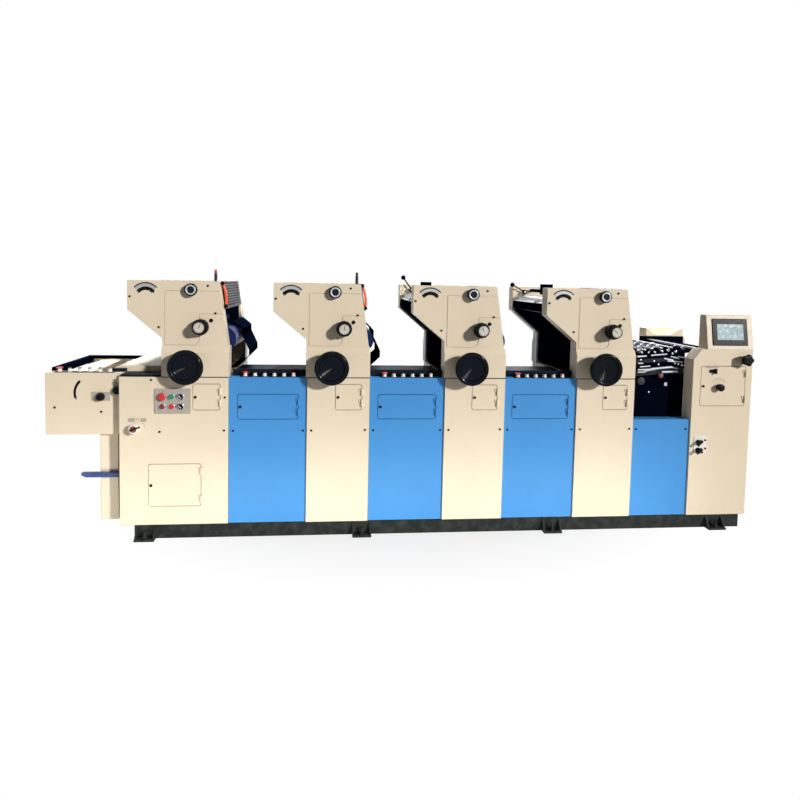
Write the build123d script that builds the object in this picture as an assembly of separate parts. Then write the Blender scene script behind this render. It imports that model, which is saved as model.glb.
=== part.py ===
from build123d import *
import math
import os

os.makedirs("parts", exist_ok=True)

# Layout. X runs along the press from delivery to feeder, Y from operator side to drive side, Z up.
# X is counted from the neck of the first printing unit and Y from the operator face of the cabinets.
unit_count = 4
unit_pitch = 872.0
cabinet_width = 400.0
cabinet_inset = 9.0
lead_width = 249.0
delivery_length = 454.0
feed_length = 402.0
pillar_width = 415.0
housing_depth = 850.0
base_height = 95.0
table_height = 1013.0
pillar_rise = 202.0
pillar_height = table_height + pillar_rise

# Cylinders and inking rollers. Heights of the train are counted from the plate cylinder.
plate_inset = 55.0
plate_x = cabinet_width - plate_inset
plate_rise = 225.0
plate_z = table_height + plate_rise
cylinder_radius = 82.0
nip_gap = 0.8
nip_angle = 217.0
journal_radius = 20.0
cylinder_end_gap = 12.0
lockup_width = 34.0
lockup_depth = 14.0
fountain_roller_x = -150.0
fountain_rise = 265.0
fountain_roller_z = plate_z + fountain_rise
fountain_roller_radius = 30.0
ink_roller_radius = 34.0
ink_journal_radius = 10.0
form_roller_reach = 89.0
form_roller_rise = 92.0
ink_roller_places = [(-62.0, 240.0), (24.0, 214.0), (110.0, 238.0), (84.0, 140.0)]
ink_roller_places += [(plate_x - form_roller_reach, form_roller_rise)]

# Side frames of a printing unit
head_margin = 97.0
frame_top = fountain_roller_z + head_margin
frame_overhang = 205.0
frame_top_inset = 66.0
frame_foot_inset = 8.0
lip_height = 178.0
neck_rise = 11.0
neck_height = plate_z + neck_rise
plinth_drop = 37.0
plinth_top = plate_z - plinth_drop
plinth_bevel = 36.0
frame_setback = 20.0
frame_thickness = 90.0
seam_chamfer = 5.0
corner_radius = 6.0

# Scale slot and cover groove in the upper frame
slot_x = -97.0
slot_drop = 106.0
slot_z = frame_top - slot_drop
slot_radius = 58.0
slot_width = 12.0
slot_depth = 18.0
slot_half_angle = 52.0
groove_width = 4.0
groove_depth = 3.0
cover_left = 12.0
cover_margin = 5.0
cover_bottom = plinth_top + cover_margin
cover_drop = 59.0
cover_top = frame_top - cover_drop
cover_notch_x = 222.0
cover_notch_rise = 76.0
cover_round = 44.0

# Handwheel, dial knob, shaft cap and small knobs
wheel_x = 160.0
wheel_rise = 72.0
wheel_z = table_height + wheel_rise
wheel_radius = 106.0
wheel_reach = 102.0
wheel_shaft_radius = 12.0
dial_x = 233.0
dial_rise = 84.0
dial_z = plate_z + dial_rise
dial_radius = 47.0
dial_length = 82.0
dial_face_radius = 31.0
dial_shaft_radius = 9.0
cap_x = 175.0
cap_drop = 52.0
cap_z = frame_top - cap_drop
cap_radius = 36.0
cap_length = 34.0
shaft_depth = 42.0
shaft_clearance = 0.08
knob_clearance = 5.0
pin_inset = 24.0
pin_x = cabinet_width - frame_top_inset - pin_inset
pin_radius = 6.0
pin_height = 74.0
pinned_units = 2

# Ink fountain trough and its tie bar
trough_depth = 52.0
trough_lip_drop = 12.0
trough_wall = 9.0
trough_slope = 14.0
trough_length = 96.0
trough_inset = 6.0
tie_bar_x = -60.0
tie_bar_drop = 28.0
tie_bar_z = frame_top - tie_bar_drop
tie_bar_radius = 12.0
duct_block_width = 64.0
duct_block_length = 80.0
duct_block_rise = 22.0

# Sheet guards and louvred cover
sheet = 4.0
guard_inset = 12.0
guard_foot_gap = 16.0
guard_setback = 190.0
bulge_reach = 87.0
bulge_rise = 137.0
bulge_z = table_height + bulge_rise
bulge_land = 42.0
bulge_top_rise = 98.0
bulge_top_z = plate_z + bulge_top_rise
bulge_shoulder_reach = 42.0
bulge_shoulder_rise = 8.0
bulge_shoulder_z = plate_z + bulge_shoulder_rise
bulge_tuck = 34.0
louvre_height = 172.0
louvre_thickness = 24.0
louvre_proud = 10.0
louvre_count = 9
louvre_slot = 8.0
louvre_slot_depth = 9.0
louvre_margin = 60.0

# Air hose clipped down the feeder edge of the first two operator frames
hosed_units = 2
hose_radius = 6.0
hose_drop = 12.0
hose_length = 142.0
hose_top = frame_top - hose_drop
hose_bottom = hose_top - hose_length
hose_block = 24.0
hose_bow = 10.0
hose_y = 92.0

# Blue panels between the units, decks and push buttons
panel_setback = 10.0
panel_gap = 2.0
panel_drop = 68.0
panel_flat = 470.0
deck_thickness = 12.0
deck_front = 70.0
deck_inset = 16.0
deck_ridge = 30.0
strip_width = 34.0
strip_thickness = 4.0
strip_front = 22.0
button_radius = 11.0
button_height = 16.0
cap_button_radius = 19.0
cap_button_height = 9.0
button_spacing = 59.5
button_row = 6

# Doors
door_gap = 5.0
leaf_thickness = 6.0
pocket_depth = 70.0
knuckle_radius = 6.0
knuckle_length = 22.0
hinge_pin_radius = 3.0
hinge_seat = 0.2
hinge_tab = 18.0
hinge_tab_thickness = 3.0
latch_radius = 9.0
latch_height = 5.0
latch_margin = 16.0
door_corner = 12.0
cabinet_door_inset = 52.0
cabinet_door_width = 161.0
cabinet_door_drop = 43.0
cabinet_door_height = 158.0
panel_door_left = 55.0
panel_door_right = 47.0
panel_door_drop = 108.0
panel_door_height = 153.0
service_door_left = 171.0
service_door_width = 313.0
service_door_rise = 117.0
service_door_height = 261.0
feeder_door_left = 57.0
feeder_door_width = 309.0
feeder_door_drop = 115.0
feeder_door_height = 263.0

# Control panel on the first cabinet and the pointer knob beside it
control_gap = 12.0
control_width = 216.0
control_drop = 70.0
control_height = 154.0
control_top = table_height - control_drop
control_bottom = control_top - control_height
control_thickness = 6.0
control_button_radius = 20.0
control_button_height = 20.0
control_inset = 47.0
control_step_x = 54.5
control_margin = 45.0
control_first_z = control_bottom + control_margin
control_step_z = 61.0
pointer_inset = 97.0
pointer_x = pointer_inset - lead_width
pointer_drop = 309.0
pointer_z = table_height - pointer_drop
pointer_radius = 30.0
pointer_length = 58.0
pointer_shaft_radius = 6.0

# Delivery
delivery_rise = 13.0
delivery_top = table_height + delivery_rise
delivery_height = 379.0
delivery_bottom = delivery_top - delivery_height
delivery_setback = 60.0
delivery_side = 90.0
delivery_rear_reach = 36.0
delivery_slot_reach = 181.0
delivery_slot_drop = 124.0
delivery_slot_radius = 102.0
delivery_slot_start = 136.0
delivery_slot_turn = 62.0
delivery_slot_width = 16.0
delivery_rail_width = 30.0
delivery_rail_height = 22.0
delivery_deck_length = 80.0
delivery_deck_height = 20.0
end_rail_width = 40.0
end_rail_height = 42.0
board_gap = 229.0
board_width = 132.0
board_thickness = 10.0
cross_bar_radius = 10.0
cross_bar_reaches = (203.0, 135.0)
cross_bar_drop = 41.0
cross_bar_z = delivery_top - cross_bar_drop
hood_reach = 123.0
hood_right = -24.0
hood_rise = 48.0
hood_toe = 90.0
hood_edge = 14.0
post_gap = 42.0
post_width = 108.0
post_thickness = 50.0
post_bottom = base_height
delivery_knob_radius = 21.0
delivery_knob_length = 30.0
delivery_knob_places = ((128.0, 145.0), (30.0, 105.0))

# Pile fork and its two guide rods
guide_rod_radius = 8.0
guide_rod_reach = 21.0
guide_rod_x = -lead_width - guide_rod_reach
guide_rod_inset = 210.0
guide_clearance = 23.0
guide_overlap = 15.0
guide_bottom = base_height + guide_clearance
guide_top = delivery_bottom + guide_overlap
guide_block = 22.0
fork_bar = 24.0
fork_height = 27.0
fork_rise = 280.0
fork_z = base_height + fork_rise
fork_length = 230.0
fork_tip = guide_rod_x - fork_length
fork_arm_width = 30.0
fork_post_gap = 6.0
fork_taper = 13.0
bush_height = 80.0
bush_width = 40.0
bush_clearance = 0.08

# Feeder
pillar_depth = 100.0
pillar_chamfer_x = 54.0
pillar_chamfer_z = 70.0
feeder_panel_top = 741.0
feeder_panel_depth = 85.0
bed_top = 700.0
plate_thickness = 15.0
plate_low_drop = 58.0
plate_high_drop = 26.0
plate_overlap = 6.0
ear_radius = 18.0
feed_shaft_radius = 8.0
feed_wheel_radius = 22.0
feed_wheel_width = 14.0
feed_wheel_count = 6
feed_shaft_places = (136.0, 204.0, 272.0, 344.0)
feed_shaft_rise = 18.0
feed_clearance = 9.0
feed_board_thickness = 12.0
feed_board_drop = 5.0
feed_board_reach = 80.0
guide_bar_width = 12.0
guide_bar_height = 26.0
guide_bar_drops = (34.0, 118.0)
guide_bar_inset = 22.0
head_beam_left = 120.0
head_beam_width = 90.0
head_beam_bottom_drop = 38.0
head_beam_height = 30.0
sucker_radius = 9.0
sucker_height = 40.0
sucker_count = 6
head_rail_left = 30.0
head_rail_right = 28.0
head_rail_width = 16.0
head_rail_rise = 16.0
cross_rod_inset = 92.0
cross_rod_drop = 10.0
cross_rod_radius = 8.0
hood_lip = 31.0
hood_top_rise = 77.0
hood_left_inset = 32.0
hood_right_inset = 26.0
hood_wall = 12.0
hood_slope_left = 70.0
hood_slope_right = 95.0
pile_board_thickness = 25.0
pile_board_gap = 24.0
console_width = 320.0
console_height = 225.0
console_lean = 38.0
bezel_width = 250.0
bezel_height = 180.0
bezel_depth = 4.0
star_x = 348.0
star_drop = 67.0
star_z = pillar_height - star_drop
star_radius = 38.0
star_length = 58.0
star_shaft_radius = 8.0
star_lobes = 5

# Base
rail_left_inset = 80.0
rail_right_inset = 27.0
rail_setback = 20.0
rail_flange = 70.0
rail_web = 10.0
cross_member_width = 70.0
cross_member_places = (-130.0, 640.0, 1500.0, 2380.0, 3480.0, 3740.0)
foot_places = (-100.0, 1237.0, 2488.0, 3626.0)
foot_length = 120.0
foot_reach = 52.0
foot_plate = 14.0
foot_rib = 10.0
foot_rib_height = 66.0
foot_bolt_radius = 9.0
foot_nut_radius = 15.0
foot_nut_height = 14.0
foot_bolt_height = 40.0

# Ball lever on the ink fountain of the last two units
lever_units = (2, 3)
lever_x = -118.0
lever_drop = 40.0
lever_z = frame_top - lever_drop
lever_pin_radius = 9.0
lever_pin_length = 36.0
lever_gap = 15.0
lever_hub_radius = 17.0
lever_hub_width = 18.0
lever_rod_radius = 5.0
lever_reach = 112.0
lever_ball_radius = 17.0
lever_tilts = (36.0, 62.0)

# Values that follow from the ones above. A door is given by its left, right, bottom and top.
cabinet_door_top = table_height - cabinet_door_drop
cabinet_door_right = cabinet_width - cabinet_door_inset
cabinet_door = (cabinet_door_right - cabinet_door_width, cabinet_door_right,
                cabinet_door_top - cabinet_door_height, cabinet_door_top)
panel_door_top = table_height - panel_door_drop
panel_door = (cabinet_width + panel_door_left, unit_pitch - panel_door_right,
              panel_door_top - panel_door_height, panel_door_top)
service_door_low = base_height + service_door_rise
service_door = (service_door_left - lead_width, service_door_left - lead_width + service_door_width,
                service_door_low, service_door_low + service_door_height)
feeder_door_top = pillar_height - feeder_door_drop
feeder_door = (feeder_door_left, feeder_door_left + feeder_door_width,
               feeder_door_top - feeder_door_height, feeder_door_top)
control_right = cabinet_door[0] - control_gap
control_left = control_right - control_width
control_first_x = control_left + control_inset
unit_x = [i * unit_pitch for i in range(unit_count)]
feed_left = unit_x[-1] + cabinet_width
feed_start = feed_left + bulge_reach + feed_clearance
pillar_left = feed_left + feed_length
machine_right = pillar_left + pillar_width
delivery_left = -lead_width - delivery_length
inner_front = frame_setback + frame_thickness
inner_rear = housing_depth - inner_front
machine_front = -wheel_reach
machine_rear = housing_depth + delivery_rear_reach
shift = Pos(-(delivery_left + machine_right) / 2, -(machine_front + machine_rear) / 2, 0)
middle = housing_depth / 2


def block(x0, x1, y0, y1, z0, z1):
    """Rectangular block between two opposite corners."""
    return Pos((x0 + x1) / 2, (y0 + y1) / 2, (z0 + z1) / 2) * Box(x1 - x0, y1 - y0, z1 - z0)


def prism_xz(points, y0, y1):
    """Outline drawn in side view and carried across the press from y0 to y1."""
    face = Plane.XZ.offset(-y1) * make_face(Polyline(*points, close=True))
    return extrude(face, amount=y1 - y0)


def prism_yz(points, x0, x1):
    """Outline drawn in end view and carried along the press from x0 to x1."""
    face = Plane.YZ.offset(x0) * make_face(Polyline(*points, close=True))
    return extrude(face, amount=x1 - x0)


def bar_y(x, z, radius, y0, y1):
    """Round bar across the press."""
    return Pos(x, (y0 + y1) / 2, z) * Rot(90, 0, 0) * Cylinder(radius, y1 - y0)


def bar_z(x, y, radius, z0, z1):
    """Upright round bar."""
    return Pos(x, y, (z0 + z1) / 2) * Cylinder(radius, z1 - z0)


def turned(profile, x, y, z):
    """Turned piece: radius and reach towards the operator, revolved about an axis across the press."""
    side = Plane(origin=(x, y, z), x_dir=(1, 0, 0), z_dir=(0, 0, -1))
    return revolve(side * make_face(Polyline(*profile, close=True)), Axis((x, y, z), (0, 1, 0)))


def mirrored(shape):
    """The same piece on the drive side."""
    return mirror(shape, Plane.XZ.offset(-middle))


def bent_sheet(points, thickness):
    """Folded sheet: the line through the points thickened to its left."""
    normals = []
    for (x0, z0), (x1, z1) in zip(points[:-1], points[1:]):
        length = math.hypot(x1 - x0, z1 - z0)
        normals.append((-(z1 - z0) / length, (x1 - x0) / length))
    inner = []
    for i, (x, z) in enumerate(points):
        before = normals[max(i - 1, 0)]
        after = normals[min(i, len(normals) - 1)]
        scale = thickness / (1 + before[0] * after[0] + before[1] * after[1])
        inner.append((x + (before[0] + after[0]) * scale, z + (before[1] + after[1]) * scale))
    return points + inner[::-1]


def join(shapes):
    """Several separate solids in one named piece."""
    solids = [solid for shape in shapes for solid in shape.solids()]
    return Compound(children=solids)


def edge_x(z):
    """Place of the sloping feeder edge of a side frame at height z."""
    top = cabinet_width - frame_top_inset
    foot = cabinet_width - frame_foot_inset
    return top + (foot - top) * (frame_top - z) / (frame_top - plinth_top)


def edge_point(z, offset):
    """Point standing off that sloping edge by an offset."""
    run = edge_x(plinth_top) - edge_x(frame_top)
    rise = frame_top - plinth_top
    length = math.hypot(run, rise)
    return (edge_x(z) + offset * rise / length, z + offset * run / length)


def door_parts(bounds, origin, face):
    """Hinged leaf, the fixed hinge halves, and the pocket that the leaf closes."""
    x0, x1, z0, z1 = bounds[0] + origin, bounds[1] + origin, bounds[2], bounds[3]
    hinge_x = x1 + door_gap / 2
    hinge_y = face - knuckle_radius
    leaf = block(x0, x1, face, face + leaf_thickness, z0, z1)
    leaf = fillet(leaf.edges().filter_by(Axis.Y), door_corner)
    leaf += bar_y(x0 + latch_margin, (z0 + z1) / 2, latch_radius, face - latch_height, face)
    pocket = block(x0 - door_gap, x1 + door_gap, face, face + pocket_depth, z0 - door_gap, z1 + door_gap)
    pocket = fillet(pocket.edges().filter_by(Axis.Y), door_corner + door_gap)
    fixed = []
    for z in (z0 + 2 * knuckle_length, z1 - 2 * knuckle_length):
        lower = bar_z(hinge_x, hinge_y, knuckle_radius, z - knuckle_length, z - hinge_seat)
        lower += block(hinge_x, hinge_x + hinge_tab, face - hinge_tab_thickness, face, z - knuckle_length, z - hinge_seat)
        lower += bar_z(hinge_x, hinge_y, hinge_pin_radius, z - knuckle_length, z + knuckle_length)
        fixed.append(lower)
        upper = bar_z(hinge_x, hinge_y, knuckle_radius, z, z + knuckle_length)
        upper += block(hinge_x - hinge_tab, hinge_x, face - hinge_tab_thickness, face, z, z + knuckle_length)
        upper -= bar_z(hinge_x, hinge_y, hinge_pin_radius + shaft_clearance, z, z + knuckle_length)
        leaf += upper
    return leaf, fixed, pocket


def fit_door(housing, parts):
    """Cut a door's pocket in its housing and fix the hinge halves beside it."""
    housing -= parts[2]
    for half in parts[1]:
        housing += half
    return housing


def side_frame(number):
    """Operator side frame: overhanging upper cover and casting on a bevelled plinth."""
    lip = frame_top - lip_height
    outline = [(-frame_overhang, frame_top), (cabinet_width - frame_top_inset, frame_top)]
    outline += [(cabinet_width - frame_foot_inset, plinth_top), (0, plinth_top), (0, neck_height)]
    outline += [(-frame_overhang, lip)]
    upper = prism_xz(outline, frame_setback, inner_front)
    upper = fillet(upper.edges().filter_by(Axis.Y), corner_radius)
    end = [(seam_chamfer, table_height), (0, table_height + seam_chamfer), (0, plinth_top - plinth_bevel)]
    end += [(frame_setback, plinth_top), (inner_front, plinth_top), (inner_front, table_height)]
    frame = upper + prism_yz(end, 0, cabinet_width)
    if number >= 0:
        frame -= scale_slot()
        frame -= cover_groove()
        frame -= bar_y(wheel_x, wheel_z, wheel_shaft_radius + shaft_clearance, 0, shaft_depth)
        frame -= bar_y(dial_x, dial_z, dial_shaft_radius + shaft_clearance, 0, frame_setback + shaft_depth)
        if number < pinned_units:
            frame += bar_z(pin_x, frame_setback + frame_thickness / 2, pin_radius, frame_top, frame_top + pin_height)
    return frame


def scale_slot():
    """Curved slot that the ink setting pointer runs in."""
    arc = CenterArc((slot_x, slot_z), slot_radius, 90 - slot_half_angle, 2 * slot_half_angle)
    face = Plane.XZ.offset(-frame_setback - slot_depth) * SlotArc(arc, slot_width)
    return extrude(face, amount=slot_depth)


def cover_groove():
    """Shadow gap along the bolted inspection cover, which runs to the feeder edge and clears the dial knob."""
    notch_z = dial_z + cover_notch_rise
    low = [(cover_left, cover_bottom), (cover_notch_x, cover_bottom), (cover_notch_x, notch_z)]
    low += [(edge_x(notch_z), notch_z), (edge_x(cover_top), cover_top), (cover_left, cover_top)]
    cover = make_face(Polyline(*low, close=True))
    corner = cover.vertices().sort_by_distance((cover_notch_x, cover_bottom, 0))[0]
    cover = fillet(corner, cover_round)
    ring = cover - offset(cover, -groove_width)
    low_z = notch_z + groove_width
    high_z = cover_top - groove_width
    band = [(edge_x(low_z) - cover_round, low_z), (edge_x(low_z), low_z)]
    band += [(edge_x(high_z), high_z), (edge_x(high_z) - cover_round, high_z)]
    ring -= make_face(Polyline(*band, close=True))
    return extrude(Plane.XZ.offset(-frame_setback - groove_depth) * ring, amount=groove_depth)


def roller(x, z, radius, end_gap, journal):
    """Roller with journals that seat on both side frames."""
    body = bar_y(x, z, radius, inner_front + end_gap, inner_rear - end_gap)
    return body + bar_y(x, z, journal, inner_front, inner_rear)


def cylinder(x, z, gap_angle):
    """Printing cylinder with its lock-up gap cut along the surface."""
    body = roller(x, z, cylinder_radius, cylinder_end_gap, journal_radius)
    reach = cylinder_radius - lockup_depth / 2
    slot = Box(lockup_depth, inner_rear - inner_front, lockup_width)
    turn = Pos(x, middle, z) * Rot(0, -gap_angle, 0) * Pos(reach + lockup_depth / 4, 0, 0)
    return body - turn * slot


def ink_fountain(number):
    """Ink trough under the fountain roller, with a tie bar, and the duct block where a lever works it."""
    left = -frame_overhang + trough_inset
    top = fountain_roller_z - trough_lip_drop
    bottom = top - trough_depth
    outline = [(left, bottom), (left, top), (left + trough_wall, top)]
    outline += [(left + trough_wall, bottom + trough_slope + trough_wall)]
    outline += [(left + trough_length, bottom + trough_wall), (left + trough_length, bottom)]
    trough = prism_xz(outline, inner_front, inner_rear)
    bar = bar_y(tie_bar_x, tie_bar_z, tie_bar_radius, inner_front, inner_rear)
    if number in lever_units:
        half = duct_block_width / 2
        length = duct_block_length / 2
        low = tie_bar_z - 2 * tie_bar_radius
        high = frame_top + duct_block_rise
        bar += block(tie_bar_x - half, tie_bar_x + half, middle - length, middle + length, low, high)
    return join([trough, bar])


def roller_guard():
    """Folded guard inside the overhang and neck on the delivery side of a unit."""
    lip = frame_top - lip_height
    slope = math.atan2(lip - neck_height, frame_overhang)
    rise = guard_inset / math.cos(slope)
    start = -frame_overhang + guard_inset
    line = [(guard_inset, table_height + guard_foot_gap)]
    line += [(guard_inset, neck_height + rise - guard_inset * math.tan(slope))]
    line += [(start, neck_height + rise - start * math.tan(slope))]
    return prism_xz(bent_sheet(line[::-1], sheet), inner_front, inner_rear)


def damping_guard():
    """Guard that bulges round the plate cylinder on the feeder side of a unit."""
    reach = cabinet_width + bulge_reach
    foot = table_height + guard_foot_gap
    line = [(edge_x(bulge_top_z) - bulge_tuck, bulge_top_z), (edge_x(bulge_top_z) + guard_inset, bulge_top_z)]
    shoulder = cabinet_width + bulge_shoulder_reach
    line += [(shoulder, bulge_shoulder_z + bulge_land), (shoulder, bulge_shoulder_z)]
    line += [(reach, bulge_z), (reach, bulge_z - bulge_land)]
    line += [(cabinet_width + sheet, foot), (cabinet_width - bulge_tuck, foot)]
    return prism_xz(bent_sheet(line[::-1], sheet), inner_front + guard_setback, inner_rear)


def louvre_cover():
    """Louvred cover set between the frames along their sloping feeder edge."""
    low = frame_top - louvre_height
    back = louvre_proud - louvre_thickness
    outline = [edge_point(frame_top, louvre_proud), edge_point(frame_top, back)]
    outline += [edge_point(low, back), edge_point(low, louvre_proud)]
    cover = prism_xz(outline, inner_front, inner_rear)
    step = louvre_height / (louvre_count + 1)
    for i in range(louvre_count):
        z = frame_top - step * (i + 1)
        depth = louvre_proud - louvre_slot_depth
        slot = [edge_point(z, louvre_proud), edge_point(z + louvre_slot, louvre_proud)]
        slot += [edge_point(z + 1.5 * louvre_slot, depth), edge_point(z + louvre_slot / 2, depth)]
        cover -= prism_xz(slot, inner_front + louvre_margin, inner_rear - louvre_margin)
    return cover


def air_hose():
    """Hose bowed between two blocks that sit on the sloping edge of the operator frame."""
    half = hose_block / 2
    pieces = []
    for z in (hose_top, hose_bottom):
        corners = [edge_point(z - half, 0), edge_point(z + half, 0)]
        corners += [edge_point(z + half, hose_block), edge_point(z - half, hose_block)]
        pieces.append(prism_xz(corners, hose_y - half, hose_y + half))
    path = []
    for share, extra in ((0, 0), (0.25, 0.75), (0.5, 1), (0.75, 0.75), (1, 0)):
        x, z = edge_point(hose_top + (hose_bottom - hose_top) * share, half + hose_bow * extra)
        path.append((x, hose_y, z))
    line = Spline(*path)
    tube = sweep(Plane(line @ 0, z_dir=line % 0) * Circle(hose_radius), path=line)
    return pieces[0] + tube + pieces[1]


def button_strip(x, y, z):
    """Row of push buttons on a strip: a large red one first, then the small ones."""
    length = button_spacing * button_row
    strip = block(x - button_spacing / 2, x - button_spacing / 2 + length, y, y + strip_width, z, z + strip_thickness)
    for i in range(button_row):
        place = x + i * button_spacing
        top = z + strip_thickness + button_height
        strip += bar_z(place, y + strip_width / 2, button_radius, z, top)
        if i == 0:
            strip += bar_z(place, y + strip_width / 2, cap_button_radius, top, top + cap_button_height)
    return strip


def blue_panel(x):
    """Blue housing between two cabinets, with a top that falls away to the drive side."""
    top = table_height - panel_drop
    end = [(panel_setback, base_height), (panel_setback, table_height), (panel_flat, table_height)]
    end += [(housing_depth - panel_setback, top), (housing_depth - panel_setback, base_height)]
    return prism_yz(end, x + cabinet_width + panel_gap, x + unit_pitch + cabinet_inset - panel_gap)


def deck(x0, x1):
    """Dark deck plate with a folded ridge along its operator edge."""
    rise = table_height + deck_thickness
    end = [(deck_front, table_height), (deck_front, rise + deck_ridge), (deck_front + deck_thickness, rise + deck_ridge)]
    end += [(deck_front + deck_thickness + deck_ridge, rise), (panel_flat, rise), (panel_flat, table_height)]
    return prism_yz(end, x0, x1)


def control_panel():
    """Plate with two rows of push buttons and switches."""
    panel = block(control_left, control_right, -control_thickness, 0, control_bottom, control_top)
    panel = fillet(panel.edges().filter_by(Axis.Y), corner_radius)
    for column in range(3):
        for row in range(2):
            x = control_first_x + column * control_step_x
            z = control_first_z + row * control_step_z
            reach = control_thickness + control_button_height
            panel += bar_y(x, z, control_button_radius, -reach, -control_thickness)
    return panel


def delivery_side_box(rear):
    """Box along one side of the delivery."""
    y0 = delivery_setback
    y1 = delivery_setback + delivery_side
    if rear:
        y0 = housing_depth - delivery_setback - delivery_side
        y1 = machine_rear
    box = block(delivery_left, -lead_width, y0, y1, delivery_bottom, delivery_top)
    box = fillet(box.edges().filter_by(Axis.Y).group_by(Axis.X)[0], corner_radius)
    if not rear:
        centre = (-lead_width - delivery_slot_reach, delivery_top - delivery_slot_drop)
        arc = CenterArc(centre, delivery_slot_radius, delivery_slot_start, delivery_slot_turn)
        face = Plane.XZ.offset(-y0 - slot_depth) * SlotArc(arc, delivery_slot_width)
        box -= extrude(face, amount=slot_depth)
    return box


def delivery_bars():
    """Raised end rail, the rail along the drive side and the round cross bars between the delivery sides."""
    y0 = delivery_setback + delivery_side
    y1 = housing_depth - y0
    low = delivery_top - end_rail_height / 2
    rail = block(delivery_left, delivery_left + end_rail_width, y0, y1, low, low + end_rail_height)
    side = block(delivery_left, -lead_width, y1, y1 + delivery_rail_width, delivery_top, delivery_top + delivery_rail_height)
    bars = [bar_y(-lead_width - reach, cross_bar_z, cross_bar_radius, y0, y1) for reach in cross_bar_reaches]
    return join([rail, side] + bars)


def jogger_board():
    """Flat board that squares the delivered sheets."""
    y0 = delivery_setback + delivery_side
    top = delivery_top - board_thickness
    right = -lead_width - board_gap
    return block(right - board_width, right, y0, housing_depth - y0, top - board_thickness, top)


def delivery_hood():
    """Low hood where the sheets come out of the first unit."""
    low = table_height
    left = -lead_width - hood_reach
    outline = [(left, low), (left, low + hood_edge), (left + hood_toe, low + hood_rise)]
    outline += [(hood_right, low + hood_rise), (hood_right, low)]
    y0 = delivery_setback + delivery_side + door_gap
    return prism_xz(outline, y0, housing_depth - y0)


def delivery_post():
    """Post that hangs below the delivery box beside the pile."""
    y1 = delivery_setback + delivery_side
    right = -lead_width - post_gap
    post = block(right - post_width, right, y1 - post_thickness, y1, post_bottom, delivery_bottom)
    return fillet(post.edges().filter_by(Axis.Z).group_by(Axis.X)[0], corner_radius)


def lift_guide(y):
    """Upright rod with a block at each end fixed to the first cabinet."""
    rod = bar_z(guide_rod_x, y, guide_rod_radius, guide_bottom, guide_top)
    left = guide_rod_x - guide_block / 2
    for z in (guide_bottom, guide_top - guide_block):
        rod += block(left, -lead_width, y - guide_block / 2, y + guide_block / 2, z, z + guide_block)
    return rod


def pile_fork():
    """Two tapered arms on a cross bar whose bushes slide on the guide rods."""
    front = delivery_setback + delivery_side - post_thickness - fork_post_gap - fork_arm_width
    x0 = guide_rod_x - fork_bar / 2
    x1 = guide_rod_x + fork_bar / 2
    top = fork_z + fork_height
    fork = block(x0, x1, front, housing_depth - front, fork_z, top)
    arm = [(x1, fork_z), (x1, top), (fork_tip, top), (fork_tip, top - fork_height + fork_taper)]
    arm += [(fork_tip + 2 * fork_taper, fork_z)]
    blade = prism_xz(arm, front, front + fork_arm_width)
    fork += blade + mirrored(blade)
    middle_z = fork_z + fork_height / 2
    for y in (guide_rod_inset, housing_depth - guide_rod_inset):
        low = middle_z - bush_height / 2
        fork += block(x0, x1, y - bush_width / 2, y + bush_width / 2, low, low + bush_height)
    for y in (guide_rod_inset, housing_depth - guide_rod_inset):
        fork -= bar_z(guide_rod_x, y, guide_rod_radius + bush_clearance, 0, guide_top)
    return fork


def pillar_outline(height):
    """Side view of a feeder pillar with its cut corner."""
    outline = [(pillar_left, base_height), (pillar_left, height - pillar_chamfer_z)]
    outline += [(pillar_left + pillar_chamfer_x, height), (machine_right, height), (machine_right, base_height)]
    return outline


def drive_pillar():
    """Drive side pillar of the feeder with an open tray on top, its ends sloping inwards."""
    pillar = prism_xz(pillar_outline(pillar_height), housing_depth - pillar_depth, housing_depth)
    y0 = housing_depth - pillar_depth
    lip = pillar_height + hood_lip
    top = pillar_height + hood_top_rise
    left = pillar_left + pillar_chamfer_x + hood_left_inset
    right = machine_right - hood_right_inset
    tray = block(left, right, y0, housing_depth, pillar_height, top)
    hollow = [(left + hood_wall, top), (left + hood_slope_left, lip)]
    hollow += [(right - hood_slope_right, lip), (right - hood_wall, top)]
    return pillar + tray - prism_xz(hollow, y0, housing_depth - hood_wall)


def console():
    """Operator console that leans back on the pillar, with a recess for the screen."""
    z0 = pillar_height
    z1 = pillar_height + console_height
    end = [(0, z0), (console_lean, z1), (pillar_depth, z1), (pillar_depth, z0)]
    body = prism_yz(end, machine_right - console_width, machine_right)
    body = fillet(body.edges().filter_by(Axis.X).group_by(Axis.Z)[-1], corner_radius)
    slant = math.hypot(console_lean, console_height)
    normal = (0, -console_height / slant, console_lean / slant)
    centre = (machine_right - console_width / 2, console_lean / 2, (z0 + z1) / 2)
    face = Plane(origin=centre, x_dir=(1, 0, 0), z_dir=normal)
    return body - face * Box(bezel_width, bezel_height, 2 * bezel_depth)


def feed_line(x):
    """Height of the sloping top edge of the feed section's side plates."""
    share = (x - feed_left) / feed_length
    return pillar_height - plate_low_drop + (plate_low_drop - plate_high_drop) * share


def feed_plate(start):
    """Inner side plate of the feed section with a rounded ear for each shaft."""
    y0 = inner_front
    y1 = inner_front + plate_thickness
    end = pillar_left + plate_overlap
    outline = [(start, bed_top), (start, feed_line(start)), (end, feed_line(end)), (end, bed_top)]
    plate = prism_xz(outline, y0, y1)
    for x in feed_shaft_places:
        place = feed_left + x
        plate += bar_y(place, feed_line(place) + feed_shaft_rise, ear_radius, y0, y1)
    return plate


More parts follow.
